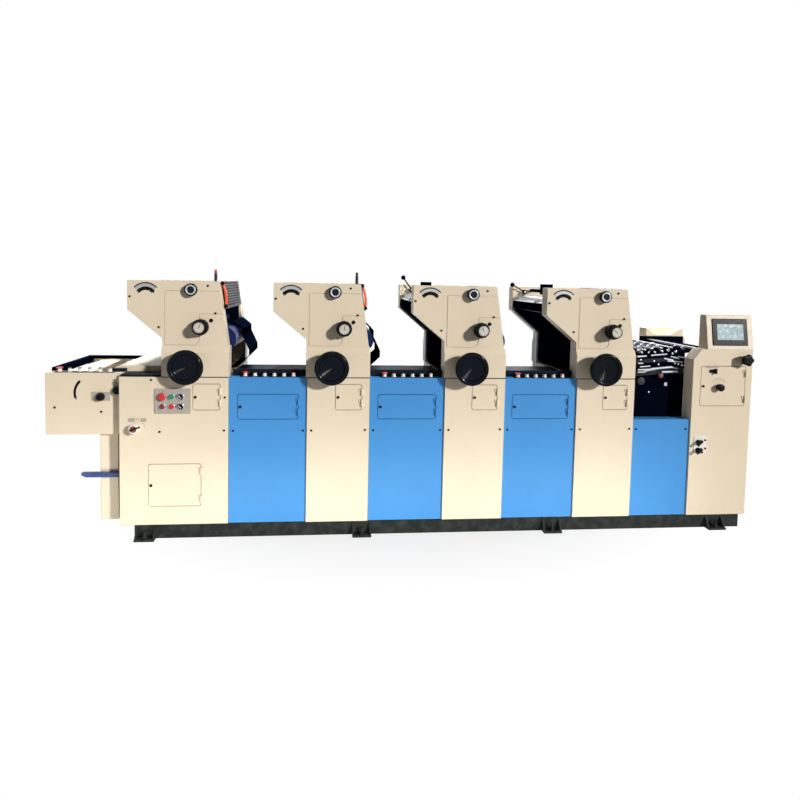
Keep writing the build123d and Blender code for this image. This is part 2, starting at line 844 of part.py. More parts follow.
def feed_guides():
    """Steel bars fixed along the outer face of the operator side plate."""
    bars = []
    x0 = feed_left + guide_bar_inset
    x1 = pillar_left - guide_bar_inset
    for drop in guide_bar_drops:
        outline = [(x0, feed_line(x0) - drop), (x1, feed_line(x1) - drop)]
        outline += [(x1, feed_line(x1) - drop - guide_bar_height), (x0, feed_line(x0) - drop - guide_bar_height)]
        bars.append(prism_xz(outline, inner_front - guide_bar_width, inner_front))
    return join(bars)


def feeder_head():
    """Cross beam of the feeder head with its row of suckers, and the rail along the drive pillar."""
    y0 = pillar_depth
    y1 = housing_depth - pillar_depth
    x0 = pillar_left + head_beam_left
    bottom = pillar_height - head_beam_bottom_drop
    beam = block(x0, x0 + head_beam_width, y0, y1, bottom, bottom + head_beam_height)
    for i in range(sucker_count):
        y = y0 + (y1 - y0) * (i + 1) / (sucker_count + 1)
        beam += bar_z(x0 + sucker_radius, y, sucker_radius, bottom, bottom + sucker_height)
    left = pillar_left + head_rail_left
    right = machine_right - head_rail_right
    return beam + block(left, right, y1 - head_rail_width, y1, bottom, pillar_height + head_rail_rise)


def feed_shafts():
    """Shafts across the feed table, all but the last with wheels, and the rod between the pillars."""
    y0 = inner_front + plate_thickness
    y1 = housing_depth - y0
    shafts = []
    for number, place in enumerate(feed_shaft_places):
        x = feed_left + place
        z = feed_line(x) + feed_shaft_rise
        shaft = bar_y(x, z, feed_shaft_radius, y0, y1)
        for i in range(feed_wheel_count):
            y = y0 + (y1 - y0) * (i + 1) / (feed_wheel_count + 1)
            if number < len(feed_shaft_places) - 1:
                half = feed_wheel_width / 2
                shaft += bar_y(x, z, feed_wheel_radius, y - half, y + half)
        shafts.append(shaft)
    rod_z = pillar_height - cross_rod_drop
    x = pillar_left + cross_rod_inset
    rod_end = housing_depth - pillar_depth - head_rail_width
    shafts.append(bar_y(x, rod_z, cross_rod_radius, pillar_depth, rod_end))
    return join(shafts)


def feed_board():
    """Sloping feed table between the inner side plates, reaching over the edge of the pile."""
    x1 = pillar_left + feed_board_reach
    low = feed_line(feed_start) - feed_board_drop
    high = feed_line(x1) - feed_board_drop
    outline = [(feed_start, low - feed_board_thickness), (feed_start, low), (x1, high)]
    outline += [(x1, high - feed_board_thickness)]
    return prism_xz(outline, inner_front + plate_thickness, inner_rear - plate_thickness)


def handwheel(x):
    """Dished handwheel on its hub and shaft."""
    r = wheel_radius
    d = wheel_reach
    hub = 2 * wheel_shaft_radius
    profile = [(0, -shaft_depth), (wheel_shaft_radius, -shaft_depth), (wheel_shaft_radius, knob_clearance)]
    profile += [(hub, knob_clearance), (hub, 0.56 * d), (0.86 * r, 0.62 * d), (0.95 * r, 0.66 * d)]
    profile += [(r, 0.75 * d), (r, 0.87 * d), (0.96 * r, 0.96 * d), (0.9 * r, d), (0.83 * r, 0.98 * d)]
    profile += [(0.74 * r, 0.88 * d), (0.4 * r, 0.81 * d), (0, 0.79 * d)]
    return turned(profile, x + wheel_x, 0, wheel_z)


def dial_knob(x):
    """Knob with a wide grip, and a smaller turned nose that holds the recessed dial."""
    r = dial_radius
    d = dial_length
    f = dial_face_radius
    profile = [(0, -shaft_depth), (dial_shaft_radius, -shaft_depth), (dial_shaft_radius, knob_clearance)]
    profile += [(0.8 * r, knob_clearance), (0.96 * r, 0.12 * d), (r, 0.16 * d), (r, 0.52 * d), (0.92 * r, 0.6 * d)]
    profile += [(f, 0.68 * d), (f, 0.98 * d), (0.97 * f, d), (0.9 * f, d), (0.87 * f, 0.96 * d), (0, 0.96 * d)]
    return turned(profile, x + dial_x, frame_setback, dial_z)


def shaft_cap(x):
    """Cap over the end of the vibrator shaft, with a recessed face."""
    r = cap_radius
    d = cap_length
    profile = [(0, 0), (0.9 * r, 0), (0.9 * r, 0.5 * d), (r, 0.6 * d), (r, 0.9 * d), (0.92 * r, d)]
    profile += [(0.6 * r, d), (0.56 * r, 0.86 * d), (0, 0.86 * d)]
    return turned(profile, x + cap_x, frame_setback, cap_z)


def pointer_knob():
    """Round knob with a raised pointer bar across its face."""
    r = pointer_radius
    d = pointer_length
    profile = [(0, -shaft_depth), (pointer_shaft_radius, -shaft_depth), (pointer_shaft_radius, knob_clearance)]
    profile += [(0.6 * r, knob_clearance), (0.7 * r, 0.45 * d), (r, 0.55 * d), (r, 0.85 * d), (0.9 * r, 0.9 * d)]
    profile += [(0, 0.9 * d)]
    knob = turned(profile, pointer_x, 0, pointer_z)
    bar = Pos(pointer_x, -0.94 * d, pointer_z) * Rot(0, 35, 0) * Box(1.8 * r, 0.12 * d, 0.4 * r)
    return knob + bar


def star_knob():
    """Lobed hand knob on a shaft."""
    x = pillar_left + star_x
    profile = [(0, -shaft_depth), (star_shaft_radius, -shaft_depth), (star_shaft_radius, knob_clearance)]
    profile += [(1.6 * star_shaft_radius, knob_clearance), (1.6 * star_shaft_radius, 0.7 * star_length)]
    profile += [(0.76 * star_radius, 0.7 * star_length), (0.76 * star_radius, star_length), (0, star_length)]
    knob = turned(profile, x, 0, star_z)
    reach = 0.68 * star_radius
    for i in range(star_lobes):
        angle = 2 * math.pi * i / star_lobes
        place = (x + reach * math.cos(angle), star_z + reach * math.sin(angle))
        knob += bar_y(place[0], place[1], 0.32 * star_radius, -star_length, -0.7 * star_length)
    return knob


def lever_pin(x):
    """Fixed pin on the drive frame that a ball lever turns on."""
    return bar_y(x + lever_x, lever_z, lever_pin_radius, inner_rear - lever_pin_length, inner_rear)


def ink_lever(x, tilt):
    """Ball lever on its hub, leaning towards the delivery."""
    place_x = x + lever_x
    y1 = inner_rear - lever_gap
    y0 = y1 - lever_hub_width
    y = (y0 + y1) / 2
    hub = bar_y(place_x, lever_z, lever_hub_radius, y0, y1)
    ball = lever_ball_radius
    neck = math.sqrt(ball ** 2 - lever_rod_radius ** 2)
    line = Polyline((0, lever_reach + ball), (0, 0), (lever_rod_radius, 0), (lever_rod_radius, lever_reach - neck))
    cap = ThreePointArc((lever_rod_radius, lever_reach - neck), (ball, lever_reach), (0, lever_reach + ball))
    arm = revolve(Plane.XZ * make_face(line + cap), Axis.Z)
    hub += Pos(place_x, y, lever_z) * Rot(0, -tilt, 0) * arm
    return hub - bar_y(place_x, lever_z, lever_pin_radius + shaft_clearance, y0, y1)


def base_rail():
    """Channel rail under the operator side."""
    y0 = rail_setback
    y1 = rail_setback + rail_flange
    end = [(y0, 0), (y0, base_height), (y1, base_height), (y1, base_height - rail_web)]
    end += [(y0 + rail_web, base_height - rail_web), (y0 + rail_web, rail_web), (y1, rail_web), (y1, 0)]
    return prism_yz(end, rail_left_inset - lead_width, machine_right - rail_right_inset)


def cross_member(x):
    """Beam between the two rails."""
    half = cross_member_width / 2
    y0 = rail_setback + rail_flange
    return block(x - half, x + half, y0, housing_depth - y0, 0, base_height)


def foot(x):
    """Foot plate with two ribs and a levelling bolt."""
    half = foot_length / 2
    y1 = rail_setback
    y0 = rail_setback - foot_reach
    piece = block(x - half, x + half, y0, y1, 0, foot_plate)
    rib = [(y1, foot_plate), (y1, foot_plate + foot_rib_height), (y0 + foot_rib, foot_plate)]
    for place in (x - half, x + half - foot_rib):
        piece += prism_yz(rib, place, place + foot_rib)
    y = (y0 + y1) / 2
    nut = Pos(x, y, foot_plate) * extrude(RegularPolygon(foot_nut_radius, 6), amount=foot_nut_height)
    return piece + nut + bar_z(x, y, foot_bolt_radius, foot_plate, foot_plate + foot_bolt_height)


def build():
    """Every named piece of the press, in the press frame."""
    pieces = {}
    pieces["base_rails"] = join([base_rail(), mirrored(base_rail())])
    pieces["base_cross_members"] = join([cross_member(x) for x in cross_member_places])
    feet = [foot(x) for x in foot_places]
    pieces["levelling_feet"] = join(feet + [mirrored(piece) for piece in feet])

    first = block(-lead_width, cabinet_width, 0, housing_depth, base_height, table_height)
    service = door_parts(service_door, 0, 0)
    first = fit_door(first, service)
    first -= bar_y(pointer_x, pointer_z, pointer_shaft_radius + shaft_clearance, 0, shaft_depth)
    pieces["service_door"] = service[0]
    cabinets = []
    for number, x in enumerate(unit_x):
        parts = door_parts(cabinet_door, x, 0)
        pieces[f"cabinet_door_{number + 1}"] = parts[0]
        housing = block(x + cabinet_inset, x + cabinet_width, 0, housing_depth, base_height, table_height)
        if number == 0:
            housing = first
        cabinets.append(fit_door(housing, parts))
    pieces["delivery_cabinet"] = cabinets[0]
    pieces["unit_cabinets"] = join(cabinets[1:])

    panels = []
    for number, x in enumerate(unit_x[:-1]):
        parts = door_parts(panel_door, x, panel_setback)
        pieces[f"panel_door_{number + 1}"] = parts[0]
        panels.append(fit_door(blue_panel(x), parts))
    pieces["blue_panels"] = join(panels)

    frames = []
    rears = []
    for number, x in enumerate(unit_x):
        frames.append(Pos(x, 0, 0) * side_frame(number))
        rear = Pos(x, 0, 0) * mirrored(side_frame(-1))
        if number in lever_units:
            rear += lever_pin(x)
        rears.append(rear)
        pieces[f"handwheel_{number + 1}"] = handwheel(x)
        pieces[f"dial_knob_{number + 1}"] = dial_knob(x)
    pieces["operator_frames"] = join(frames)
    pieces["drive_frames"] = join(rears)
    pieces["shaft_caps"] = join([shaft_cap(x) for x in unit_x])
    for number, tilt in zip(lever_units, lever_tilts):
        pieces[f"ink_lever_{number + 1}"] = ink_lever(unit_x[number], tilt)

    centre = 2 * cylinder_radius + nip_gap
    blanket_x = plate_x + centre * math.cos(math.radians(nip_angle))
    blanket_z = plate_z + centre * math.sin(math.radians(nip_angle))
    plates = [Pos(x, 0, 0) * cylinder(plate_x, plate_z, 100) for x in unit_x]
    blankets = [Pos(x, 0, 0) * cylinder(blanket_x, blanket_z, 160) for x in unit_x]
    pieces["cylinders"] = join(plates + blankets)
    rollers = []
    for x in unit_x:
        radius = fountain_roller_radius
        rollers.append(roller(x + fountain_roller_x, fountain_roller_z, radius, knob_clearance, ink_journal_radius))
        for place_x, rise in ink_roller_places:
            z = plate_z + rise
            rollers.append(roller(x + place_x, z, ink_roller_radius, knob_clearance, ink_journal_radius))
    pieces["ink_rollers"] = join(rollers)
    pieces["ink_fountains"] = join([Pos(x, 0, 0) * ink_fountain(i) for i, x in enumerate(unit_x)])
    pieces["roller_guards"] = join([Pos(x, 0, 0) * roller_guard() for x in unit_x])
    pieces["damping_guards"] = join([Pos(x, 0, 0) * damping_guard() for x in unit_x])
    pieces["louvre_covers"] = join([Pos(x, 0, 0) * louvre_cover() for x in unit_x])
    pieces["air_hoses"] = join([Pos(x, 0, 0) * air_hose() for x in unit_x[:hosed_units]])

    decks = [deck(x + cabinet_width + deck_inset, x + unit_pitch - panel_gap) for x in unit_x[:-1]]
    decks.append(block(-lead_width, 0, strip_front, delivery_setback + delivery_side, table_height,
                       table_height + deck_thickness))
    edge = delivery_setback + delivery_side
    decks.append(block(-lead_width - delivery_deck_length, -lead_width, edge - strip_width, edge, delivery_top,
                       delivery_top + delivery_deck_height))
    pieces["transfer_decks"] = join(decks)
    start = (unit_pitch + cabinet_width - button_spacing * (button_row - 1)) / 2
    strips = [button_strip(x + start, strip_front, table_height) for x in unit_x[:-1]]
    near = delivery_left + end_rail_width + button_spacing / 2
    strips.append(button_strip(near, delivery_setback + strip_front, delivery_top))
    pieces["button_strips"] = join(strips)
    pieces["control_panel"] = control_panel()
    pieces["pointer_knob"] = pointer_knob()

    pieces["delivery_sides"] = join([delivery_side_box(False), delivery_side_box(True)])
    pieces["delivery_bars"] = delivery_bars()
    pieces["jogger_board"] = jogger_board()
    pieces["delivery_hood"] = delivery_hood()
    pieces["delivery_posts"] = join([delivery_post(), mirrored(delivery_post())])
    knobs = []
    for reach, drop in delivery_knob_places:
        front = delivery_setback - delivery_knob_length
        knobs.append(bar_y(-lead_width - reach, delivery_top - drop, delivery_knob_radius, front, delivery_setback))
    pieces["delivery_knobs"] = join(knobs)
    pieces["lift_guides"] = join([lift_guide(guide_rod_inset), lift_guide(housing_depth - guide_rod_inset)])
    pieces["pile_fork"] = pile_fork()

    pillar = prism_xz(pillar_outline(pillar_height), 0, pillar_depth)
    hatch = door_parts(feeder_door, pillar_left, 0)
    pillar = fit_door(pillar, hatch)
    pillar -= bar_y(pillar_left + star_x, star_z, star_shaft_radius + shaft_clearance, 0, shaft_depth)
    pieces["feeder_pillar"] = pillar
    pieces["feeder_door"] = hatch[0]
    pieces["feeder_drive_pillar"] = drive_pillar()
    pieces["star_knob"] = star_knob()
    pieces["console"] = console()
    x0 = feed_left + panel_gap
    x1 = pillar_left - panel_gap
    y1 = panel_setback + feeder_panel_depth
    side = block(x0, x1, panel_setback, y1, base_height, feeder_panel_top)
    pieces["feeder_panels"] = join([side, mirrored(side)])
    pieces["feeder_bed"] = block(x0, x1, y1, housing_depth - y1, base_height, bed_top)
    near = feed_plate(feed_left + feed_clearance)
    pieces["feed_side_plates"] = join([near, mirrored(feed_plate(feed_start))])
    pieces["feed_guides"] = feed_guides()
    pieces["feeder_head"] = feeder_head()
    pieces["feed_shafts"] = feed_shafts()
    pieces["feed_board"] = feed_board()
    y0 = pillar_depth + pile_board_gap
    pieces["pile_board"] = block(pillar_left + pile_board_gap, machine_right - pile_board_gap, y0,
                                 housing_depth - y0, base_height, base_height + pile_board_thickness)
    return pieces


if __name__ == "__main__":
    for name, shape in build().items():
        export_step(shift * shape, f"parts/{name}.step")
        print(name, len(shape.solids()))
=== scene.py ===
# %% [markdown]
# # An offset printing press, dressed on its CAD frame
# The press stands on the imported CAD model, which holds every casting, door and wheel in place. This
# lesson adds paint, knobs with real faces, rollers, buttons and screws on top of that frame. Nothing
# has to be fitted by eye: each place is given in press millimetres, counted along the press from the
# neck of the first printing unit, across it from the cabinets' face, and up from the floor. The side
# frames of the units stand 20 mm behind that face, and the blue panels 10 mm.

# %% Frame
import math
import bpy
import bmesh
import numpy as np
from mathutils import Matrix, Vector


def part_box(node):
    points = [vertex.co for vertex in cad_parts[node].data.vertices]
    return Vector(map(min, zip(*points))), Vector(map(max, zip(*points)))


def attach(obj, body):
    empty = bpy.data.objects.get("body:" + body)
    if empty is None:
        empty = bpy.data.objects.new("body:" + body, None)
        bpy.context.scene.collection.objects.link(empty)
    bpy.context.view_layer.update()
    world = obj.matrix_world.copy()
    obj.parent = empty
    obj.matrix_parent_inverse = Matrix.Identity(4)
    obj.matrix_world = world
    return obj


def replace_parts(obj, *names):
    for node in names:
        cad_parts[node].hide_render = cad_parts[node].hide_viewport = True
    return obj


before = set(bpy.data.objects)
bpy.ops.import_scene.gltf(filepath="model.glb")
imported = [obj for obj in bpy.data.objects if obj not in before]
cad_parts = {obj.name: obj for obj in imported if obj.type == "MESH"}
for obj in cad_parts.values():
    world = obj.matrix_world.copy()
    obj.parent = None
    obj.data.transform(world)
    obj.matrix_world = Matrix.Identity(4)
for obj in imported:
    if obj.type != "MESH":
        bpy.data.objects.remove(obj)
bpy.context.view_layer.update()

neck_inset = 0.249
neck = np.array([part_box("delivery_cabinet")[0][0] + neck_inset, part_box("control_panel")[1][1], 0.0])
unit_pitch = 872.0
unit_steps = [unit_pitch * k for k in range(4)]
frame_y = 20.0
panel_y = 10.0


def press(x, y, z):
    """Press millimetres as frame metres; x, y and z may be arrays of one shape."""
    return np.stack([x, y, z], axis=-1) / 1000 + neck


# %% [markdown]
# ## Camera
# The photograph was taken a little left of the middle, at eye height. A camera could be turned by hand
# until the picture looks right, but a fit to the corners of the printing units gives its place, turn
# and focal length at once. The lens shift stands for the picture having been cut off centre.

# %% Camera
def place(name, data):
    """A new object at the origin, linked to the scene."""
    item = bpy.data.objects.new(name, data)
    bpy.context.scene.collection.objects.link(item)
    return item


picture = 800
focal, centre_x, centre_y = 585.754, 383.294, 314.393
yaw, pitch, roll = 0.0936, 0.0593, 0.02
forward = np.array([math.sin(yaw) * math.cos(pitch), math.cos(yaw) * math.cos(pitch), -math.sin(pitch)])
right = np.array([math.cos(yaw), -math.sin(yaw), 0.0])
up = np.cross(right, forward)
right, up = math.cos(roll) * right + math.sin(roll) * up, math.cos(roll) * up - math.sin(roll) * right
lens = bpy.data.cameras.new("photo_camera")
lens.sensor_width = 36.0
lens.lens = lens.sensor_width * focal / picture
lens.shift_x = (picture / 2 - centre_x) / picture
lens.shift_y = (centre_y - picture / 2) / picture
lens.clip_end = 60
camera = place("photo_camera", lens)
stand = press(1006.2, -3643.4, 1632.4)
camera.matrix_world = Matrix([[right[i], up[i], -forward[i], stand[i]] for i in range(3)] + [[0, 0, 0, 1]])
bpy.context.scene.camera = camera
print("camera at", stand.round(3), "lens", round(lens.lens, 2))


# %% [markdown]
# ## From grids to meshes
# Nearly every added piece is a profile turned about an axis, a profile carried along a path, or a flat
# plate with rounded corners. Blender's own primitives could be bevelled and joined, but a grid of
# points worked out with numpy gives the true profile in a few lines. Doubles are merged, so that poles
# and seams are closed.

# %% Grids to meshes
def grid(points, wrap=False):
    """An (n, m) grid of points as corners and four-sided faces; wrap joins the last column to the first."""
    n, m = points.shape[:2]
    index = np.arange(n * m).reshape(n, m)
    if wrap:
        index = np.concatenate([index, index[:, :1]], axis=1)
    faces = np.stack([index[:-1, :-1], index[:-1, 1:], index[1:, 1:], index[1:, :-1]], axis=-1)
    return points.reshape(-1, 3), faces.reshape(-1, 4)


def make_piece(name, grids, material, body="press", sharp=35.0):
    """Joins grids into one closed, smooth-shaded piece that rides on a body of the frame."""
    starts = np.cumsum([0] + [len(points) for points, faces in grids])
    points = np.concatenate([points for points, faces in grids])
    faces = np.concatenate([faces + start for (corners, faces), start in zip(grids, starts)])
    mesh = bpy.data.meshes.new(name)
    mesh.from_pydata(points.tolist(), [], faces.tolist())
    work = bmesh.new()
    work.from_mesh(mesh)
    bmesh.ops.remove_doubles(work, verts=work.verts, dist=1e-6)
    bmesh.ops.dissolve_degenerate(work, edges=work.edges, dist=1e-7)
    bmesh.ops.recalc_face_normals(work, faces=work.faces)
    work.to_mesh(mesh)
    work.free()
    mesh.polygons.foreach_set("use_smooth", np.ones(len(mesh.polygons), bool))
    mesh.set_sharp_from_angle(angle=math.radians(sharp))
    mesh.materials.append(material)
    piece = place(name, mesh)
    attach(piece, body)
    return piece


print("pieces are made from grids of", grid(np.zeros((2, 3, 3)))[1].shape[1], "sided faces")


# %% [markdown]
# ## Building blocks of the finishes
# Every finish is noise that has been stretched, clipped and mixed. Nodes could be placed one by one in
# the editor; these short helpers place and link them in code, so that each finish further on reads as
# one line per effect.

# %% Node helpers
colour, number = "NodeSocketColor", "NodeSocketFloat"


def feed(tree, inputs, sources):
    """Links each input to another node's output, or sets it to a plain value."""
    for label, source in sources.items():
        if isinstance(source, bpy.types.NodeSocket):
            tree.links.new(source, inputs[label])
        else:
            inputs[label].default_value = source


def add(tree, kind, sources=None, **settings):
    """A new shader node with its settings and what feeds its inputs; gives back the node's outputs."""
    node = tree.nodes.new("ShaderNode" + kind)
    for label, value in settings.items():
        setattr(node, label, value)
    feed(tree, node.inputs, sources or {})
    return node.outputs


def open_group(name, inputs, outputs):
    """A shader group with named sockets: the tree, what comes in and what goes out."""
    tree = bpy.data.node_groups.new(name, "ShaderNodeTree")
    for label, kind, value in inputs:
        tree.interface.new_socket(label, in_out="INPUT", socket_type=kind).default_value = value
    for label, kind in outputs:
        tree.interface.new_socket(label, in_out="OUTPUT", socket_type=kind)
    return tree, tree.nodes.new("NodeGroupInput").outputs, tree.nodes.new("NodeGroupOutput").inputs


def object_coords(tree):
    """The Object coordinates, which stay with a piece wherever it is moved."""
    return add(tree, "TexCoord")["Object"]


def noise(tree, coords, scale, detail=3.0, stretch=(1, 1, 1)):
    """Noise on coordinates that a Mapping node has stretched."""
    mapped = add(tree, "Mapping", {"Vector": coords, "Scale": stretch})["Vector"]
    return add(tree, "TexNoise", {"Vector": mapped, "Scale": scale, "Detail": detail})["Fac"]


def ramp(tree, value, low, high, out_low=0.0, out_high=1.0):
    """Map Range from low..high to out_low..out_high, clamped."""
    return add(tree, "MapRange", {"Value": value, "From Min": low, "From Max": high,
                                  "To Min": out_low, "To Max": out_high})["Result"]


def blend(tree, mask, first, second):
    """Two colours mixed by a mask."""
    return add(tree, "Mix", {"Factor": mask, "A": first, "B": second}, data_type="RGBA")["Result"]


def combine(tree, first, second, operation="MULTIPLY"):
    """Math on two values."""
    return add(tree, "Math", {0: first, 1: second}, operation=operation)[0]


film_outputs = [("Colour", colour), ("Roughness", number), ("Height", number)]
print("each film puts out", [label for label, kind in film_outputs])


# %% [markdown]
# ## Enamel
# The housings are sprayed with enamel. Up close it has soft mottling, faint runs, dust near the floor
# and the fine orange peel of spray paint. Several paints share it, so it is a node group with the
# colours as inputs.

# %% Enamel group
enamel, inside, out = open_group(
    "enamel_film",
    [("Paint", colour, (0.8, 0.8, 0.8, 1)), ("Shade", colour, (0.7, 0.7, 0.7, 1)),
     ("Dust", colour, (0.4, 0.38, 0.34, 1)), ("Mottle Scale", number, 3.0), ("Gloss", number, 0.35),
     ("Dust Amount", number, 0.35)], film_outputs)
coords = object_coords(enamel)
mottle = noise(enamel, coords, inside["Mottle Scale"], 4.0)
runs = noise(enamel, coords, 5.0, 2.0, (2.5, 2.5, 0.4))
patch = ramp(enamel, combine(enamel, mottle, combine(enamel, runs, 0.3), "ADD"), 0.45, 0.9)
base = blend(enamel, patch, inside["Paint"], inside["Shade"])
near_floor = ramp(enamel, add(enamel, "SeparateXYZ", {0: coords})["Z"], 0.08, 0.45, 1.0, 0.0)
specks = ramp(enamel, noise(enamel, coords, 22.0, 6.0), 0.42, 0.72)
dust = combine(enamel, combine(enamel, near_floor, specks), inside["Dust Amount"])
smear = ramp(enamel, noise(enamel, coords, 14.0, 5.0, (1, 1, 2)), 0.35, 0.7, 0.0, 0.14)
dulled = combine(enamel, smear, dust, "ADD")
feed(enamel, out, {"Colour": blend(enamel, dust, base, inside["Dust"]),
                   "Roughness": combine(enamel, inside["Gloss"], dulled, "ADD"),
                   "Height": noise(enamel, coords, 320.0, 2.0)})
print("group", enamel.name, "with", len(enamel.nodes), "nodes")


# %% [markdown]
# ## Worn edges
# Hands and tools wear paint off the edges first. A mask could be painted by hand, but the Bevel node
# finds the edges by itself: its rounded normal leaves the true one only close to an edge. Noise breaks
# the mask into chips.

# %% Edge wear group
wear, inside, out = open_group("edge_wear", [("Radius", number, 0.003), ("Amount", number, 0.5)],
                               [("Mask", number), ("Normal", "NodeSocketVector")])
eased = add(wear, "Bevel", {"Radius": inside["Radius"]}, samples=4)["Normal"]
true_normal = add(wear, "NewGeometry")["Normal"]
agreement = add(wear, "VectorMath", {0: eased, 1: true_normal}, operation="DOT_PRODUCT")["Value"]
near_edge = ramp(wear, agreement, 0.8, 0.985, 1.0, 0.0)
chips = ramp(wear, noise(wear, object_coords(wear), 26.0, 6.0), 0.5, 0.66)
feed(wear, out, {"Mask": combine(wear, combine(wear, near_edge, chips), inside["Amount"]), "Normal": eased})
print("group", wear.name, "with", len(wear.nodes), "nodes")


# %% [markdown]
# ## Ground metal and moulded plastic
# Shafts and rods are ground, which leaves fine scratches round them and duller patches. Knobs, buttons
# and rubber are moulded, with a fine grain and finger marks. Both are noise, stretched for the
# scratches and left even for the grain.

# %% Metal and plastic groups
ground, inside, out = open_group(
    "ground_metal", [("Metal", colour, (0.6, 0.6, 0.62, 1)), ("Stain", colour, (0.3, 0.29, 0.28, 1)),
                     ("Gloss", number, 0.25)], film_outputs)
coords = object_coords(ground)
stain = ramp(ground, noise(ground, coords, 7.0, 5.0), 0.52, 0.8, 0.0, 0.5)
scratches = noise(ground, coords, 60.0, 2.0, (14, 0.6, 14))
dulled = ramp(ground, scratches, 0.3, 0.7, 0.0, 0.2)
feed(ground, out, {"Colour": blend(ground, stain, inside["Metal"], inside["Stain"]),
                   "Roughness": combine(ground, inside["Gloss"], dulled, "ADD"), "Height": scratches})

plastic_inputs = [("Body", colour, (0.03, 0.03, 0.03, 1)), ("Bloom", colour, (0.1, 0.1, 0.1, 1)),
                  ("Gloss", number, 0.3)]
moulded, inside, out = open_group("moulded_grain", plastic_inputs + [("Grain Scale", number, 500.0)],
                                  film_outputs)
coords = object_coords(moulded)
bloom = ramp(moulded, noise(moulded, coords, 30.0, 5.0), 0.5, 0.78, 0.0, 0.4)
marks = ramp(moulded, noise(moulded, coords, 60.0, 4.0), 0.4, 0.7, 0.0, 0.15)
feed(moulded, out, {"Colour": blend(moulded, bloom, inside["Body"], inside["Bloom"]),
                    "Roughness": combine(moulded, inside["Gloss"], marks, "ADD"),
                    "Height": noise(moulded, coords, inside["Grain Scale"], 2.0)})
print("groups", ground.name, "and", moulded.name)


# %% [markdown]
# ## Spun enamel
# The handwheels were turned on a lathe before they were painted, so their surface runs in rings about
# the shaft, and the rim is a shade darker. A pattern of rings needs each point's distance from the
# shaft. The mesh carries it as an attribute named spin, which works for all four wheels with one
# material.

# %% Spun group
spun, inside, out = open_group(
    "spun_rings", plastic_inputs + [("Rim", colour, (0.01, 0.01, 0.01, 1)), ("Rim Start", number, 0.07),
                                    ("Rim Full", number, 0.08)], film_outputs)
bloom = ramp(spun, noise(spun, object_coords(spun), 24.0, 5.0), 0.5, 0.78, 0.0, 0.5)
face = blend(spun, bloom, inside["Body"], inside["Bloom"])
from_shaft = add(spun, "Attribute", attribute_name="spin")["Fac"]
outer = ramp(spun, from_shaft, inside["Rim Start"], inside["Rim Full"])
rings = add(spun, "TexNoise", {"W": from_shaft, "Scale": 420.0, "Detail": 3.0}, noise_dimensions="1D")["Fac"]
marks = ramp(spun, rings, 0.3, 0.7, 0.0, 0.12)
feed(spun, out, {"Colour": blend(spun, outer, face, inside["Rim"]),
                 "Roughness": combine(spun, inside["Gloss"], marks, "ADD"), "Height": rings})
print("group", spun.name, "with", len(spun.nodes), "nodes")


# %% [markdown]
# ## From a group to a material
# Each material is a Principled shader with one of the groups feeding colour, roughness and height.
# Numbers that are the same all over, such as metallic, coat and specular level, sit on the shader's own
# sockets, because an exported model keeps them only there.

# %% Finish
def srgb(r, g, b):
    """A colour picked from eight-bit screen values, as the linear colour that nodes expect."""
    value = np.array([r, g, b]) / 255
    linear = np.where(value <= 0.04045, value / 12.92, ((value + 0.055) / 1.055) ** 2.4)
    return (*linear.tolist(), 1.0)


relief_depth = 0.0006


def finish(name, group, values, bump=0.05, metallic=0.0, coat=0.0, shine=0.5, chipped=None, amount=0.5):
    """A Principled material fed by a group; chipped is the colour that worn edges show, by amount."""
    material = bpy.data.materials.new(name)
    material.use_nodes = True
    tree = material.node_tree
    values = {label: srgb(*value) if isinstance(value, tuple) else value for label, value in values.items()}
    film = add(tree, "Group", values, node_tree=group)
    top = film["Colour"]
    relief = {"Strength": bump, "Distance": relief_depth, "Height": film["Height"]}
    if chipped:
        edge = add(tree, "Group", {"Amount": amount}, node_tree=wear)
        top = blend(tree, edge["Mask"], top, srgb(*chipped))
        relief["Normal"] = edge["Normal"]
    feed(tree, tree.nodes["Principled BSDF"].inputs,
         {"Base Color": top, "Roughness": film["Roughness"], "Normal": add(tree, "Bump", relief)["Normal"],
          "Metallic": metallic, "Coat Weight": coat, "Specular IOR Level": shine})
    return material


print("a grey of 128 on screen is", round(srgb(128, 128, 128)[0], 3), "in the nodes")


# %% [markdown]
# ## Paints
# Cream and blue are the press's two colours; guards are black, decks and louvres dark grey, the base
# grey green. They differ in colour, mottling and dust, so one function fills the enamel group for all
# of them.

# %% Paints
def paint(name, top, shade, mottle, gloss, dust=None, dusty=0.35, **more):
    """Enamel in two close shades; without a colour of its own the dust keeps the group's."""
    values = {"Paint": top, "Shade": shade, "Mottle Scale": mottle, "Gloss": gloss, "Dust Amount": dusty}
    if dust:
        values["Dust"] = dust
    return finish(name, enamel, values, **more)


cream = paint("cream_enamel", (231, 217, 193), (227, 212, 186), 2.2, 0.34, (190, 174, 146), 0.1,
              chipped=(150, 138, 118), amount=0.45, coat=0.1, shine=0.25)
blue = paint("blue_enamel", (71, 146, 212), (67, 141, 207), 2.4, 0.33, (96, 120, 150), 0.12,
             chipped=(60, 96, 140), amount=0.4, coat=0.1, shine=0.25)
fork_blue = paint("fork_blue_enamel", (44, 76, 142), (34, 58, 112), 9.0, 0.3, (80, 90, 110),
                  chipped=(150, 156, 168), amount=0.8, coat=0.1)
base_grey = paint("base_grey_paint", (28, 35, 34), (22, 28, 28), 5.0, 0.45, (88, 84, 76), 0.3,
                  chipped=(110, 108, 104), bump=0.12, shine=0.15)
guard_black = paint("guard_black_enamel", (3, 7, 19), (5, 9, 24), 4.0, 0.34, (24, 25, 32),
                    chipped=(36, 39, 50), amount=0.3, shine=0.0)
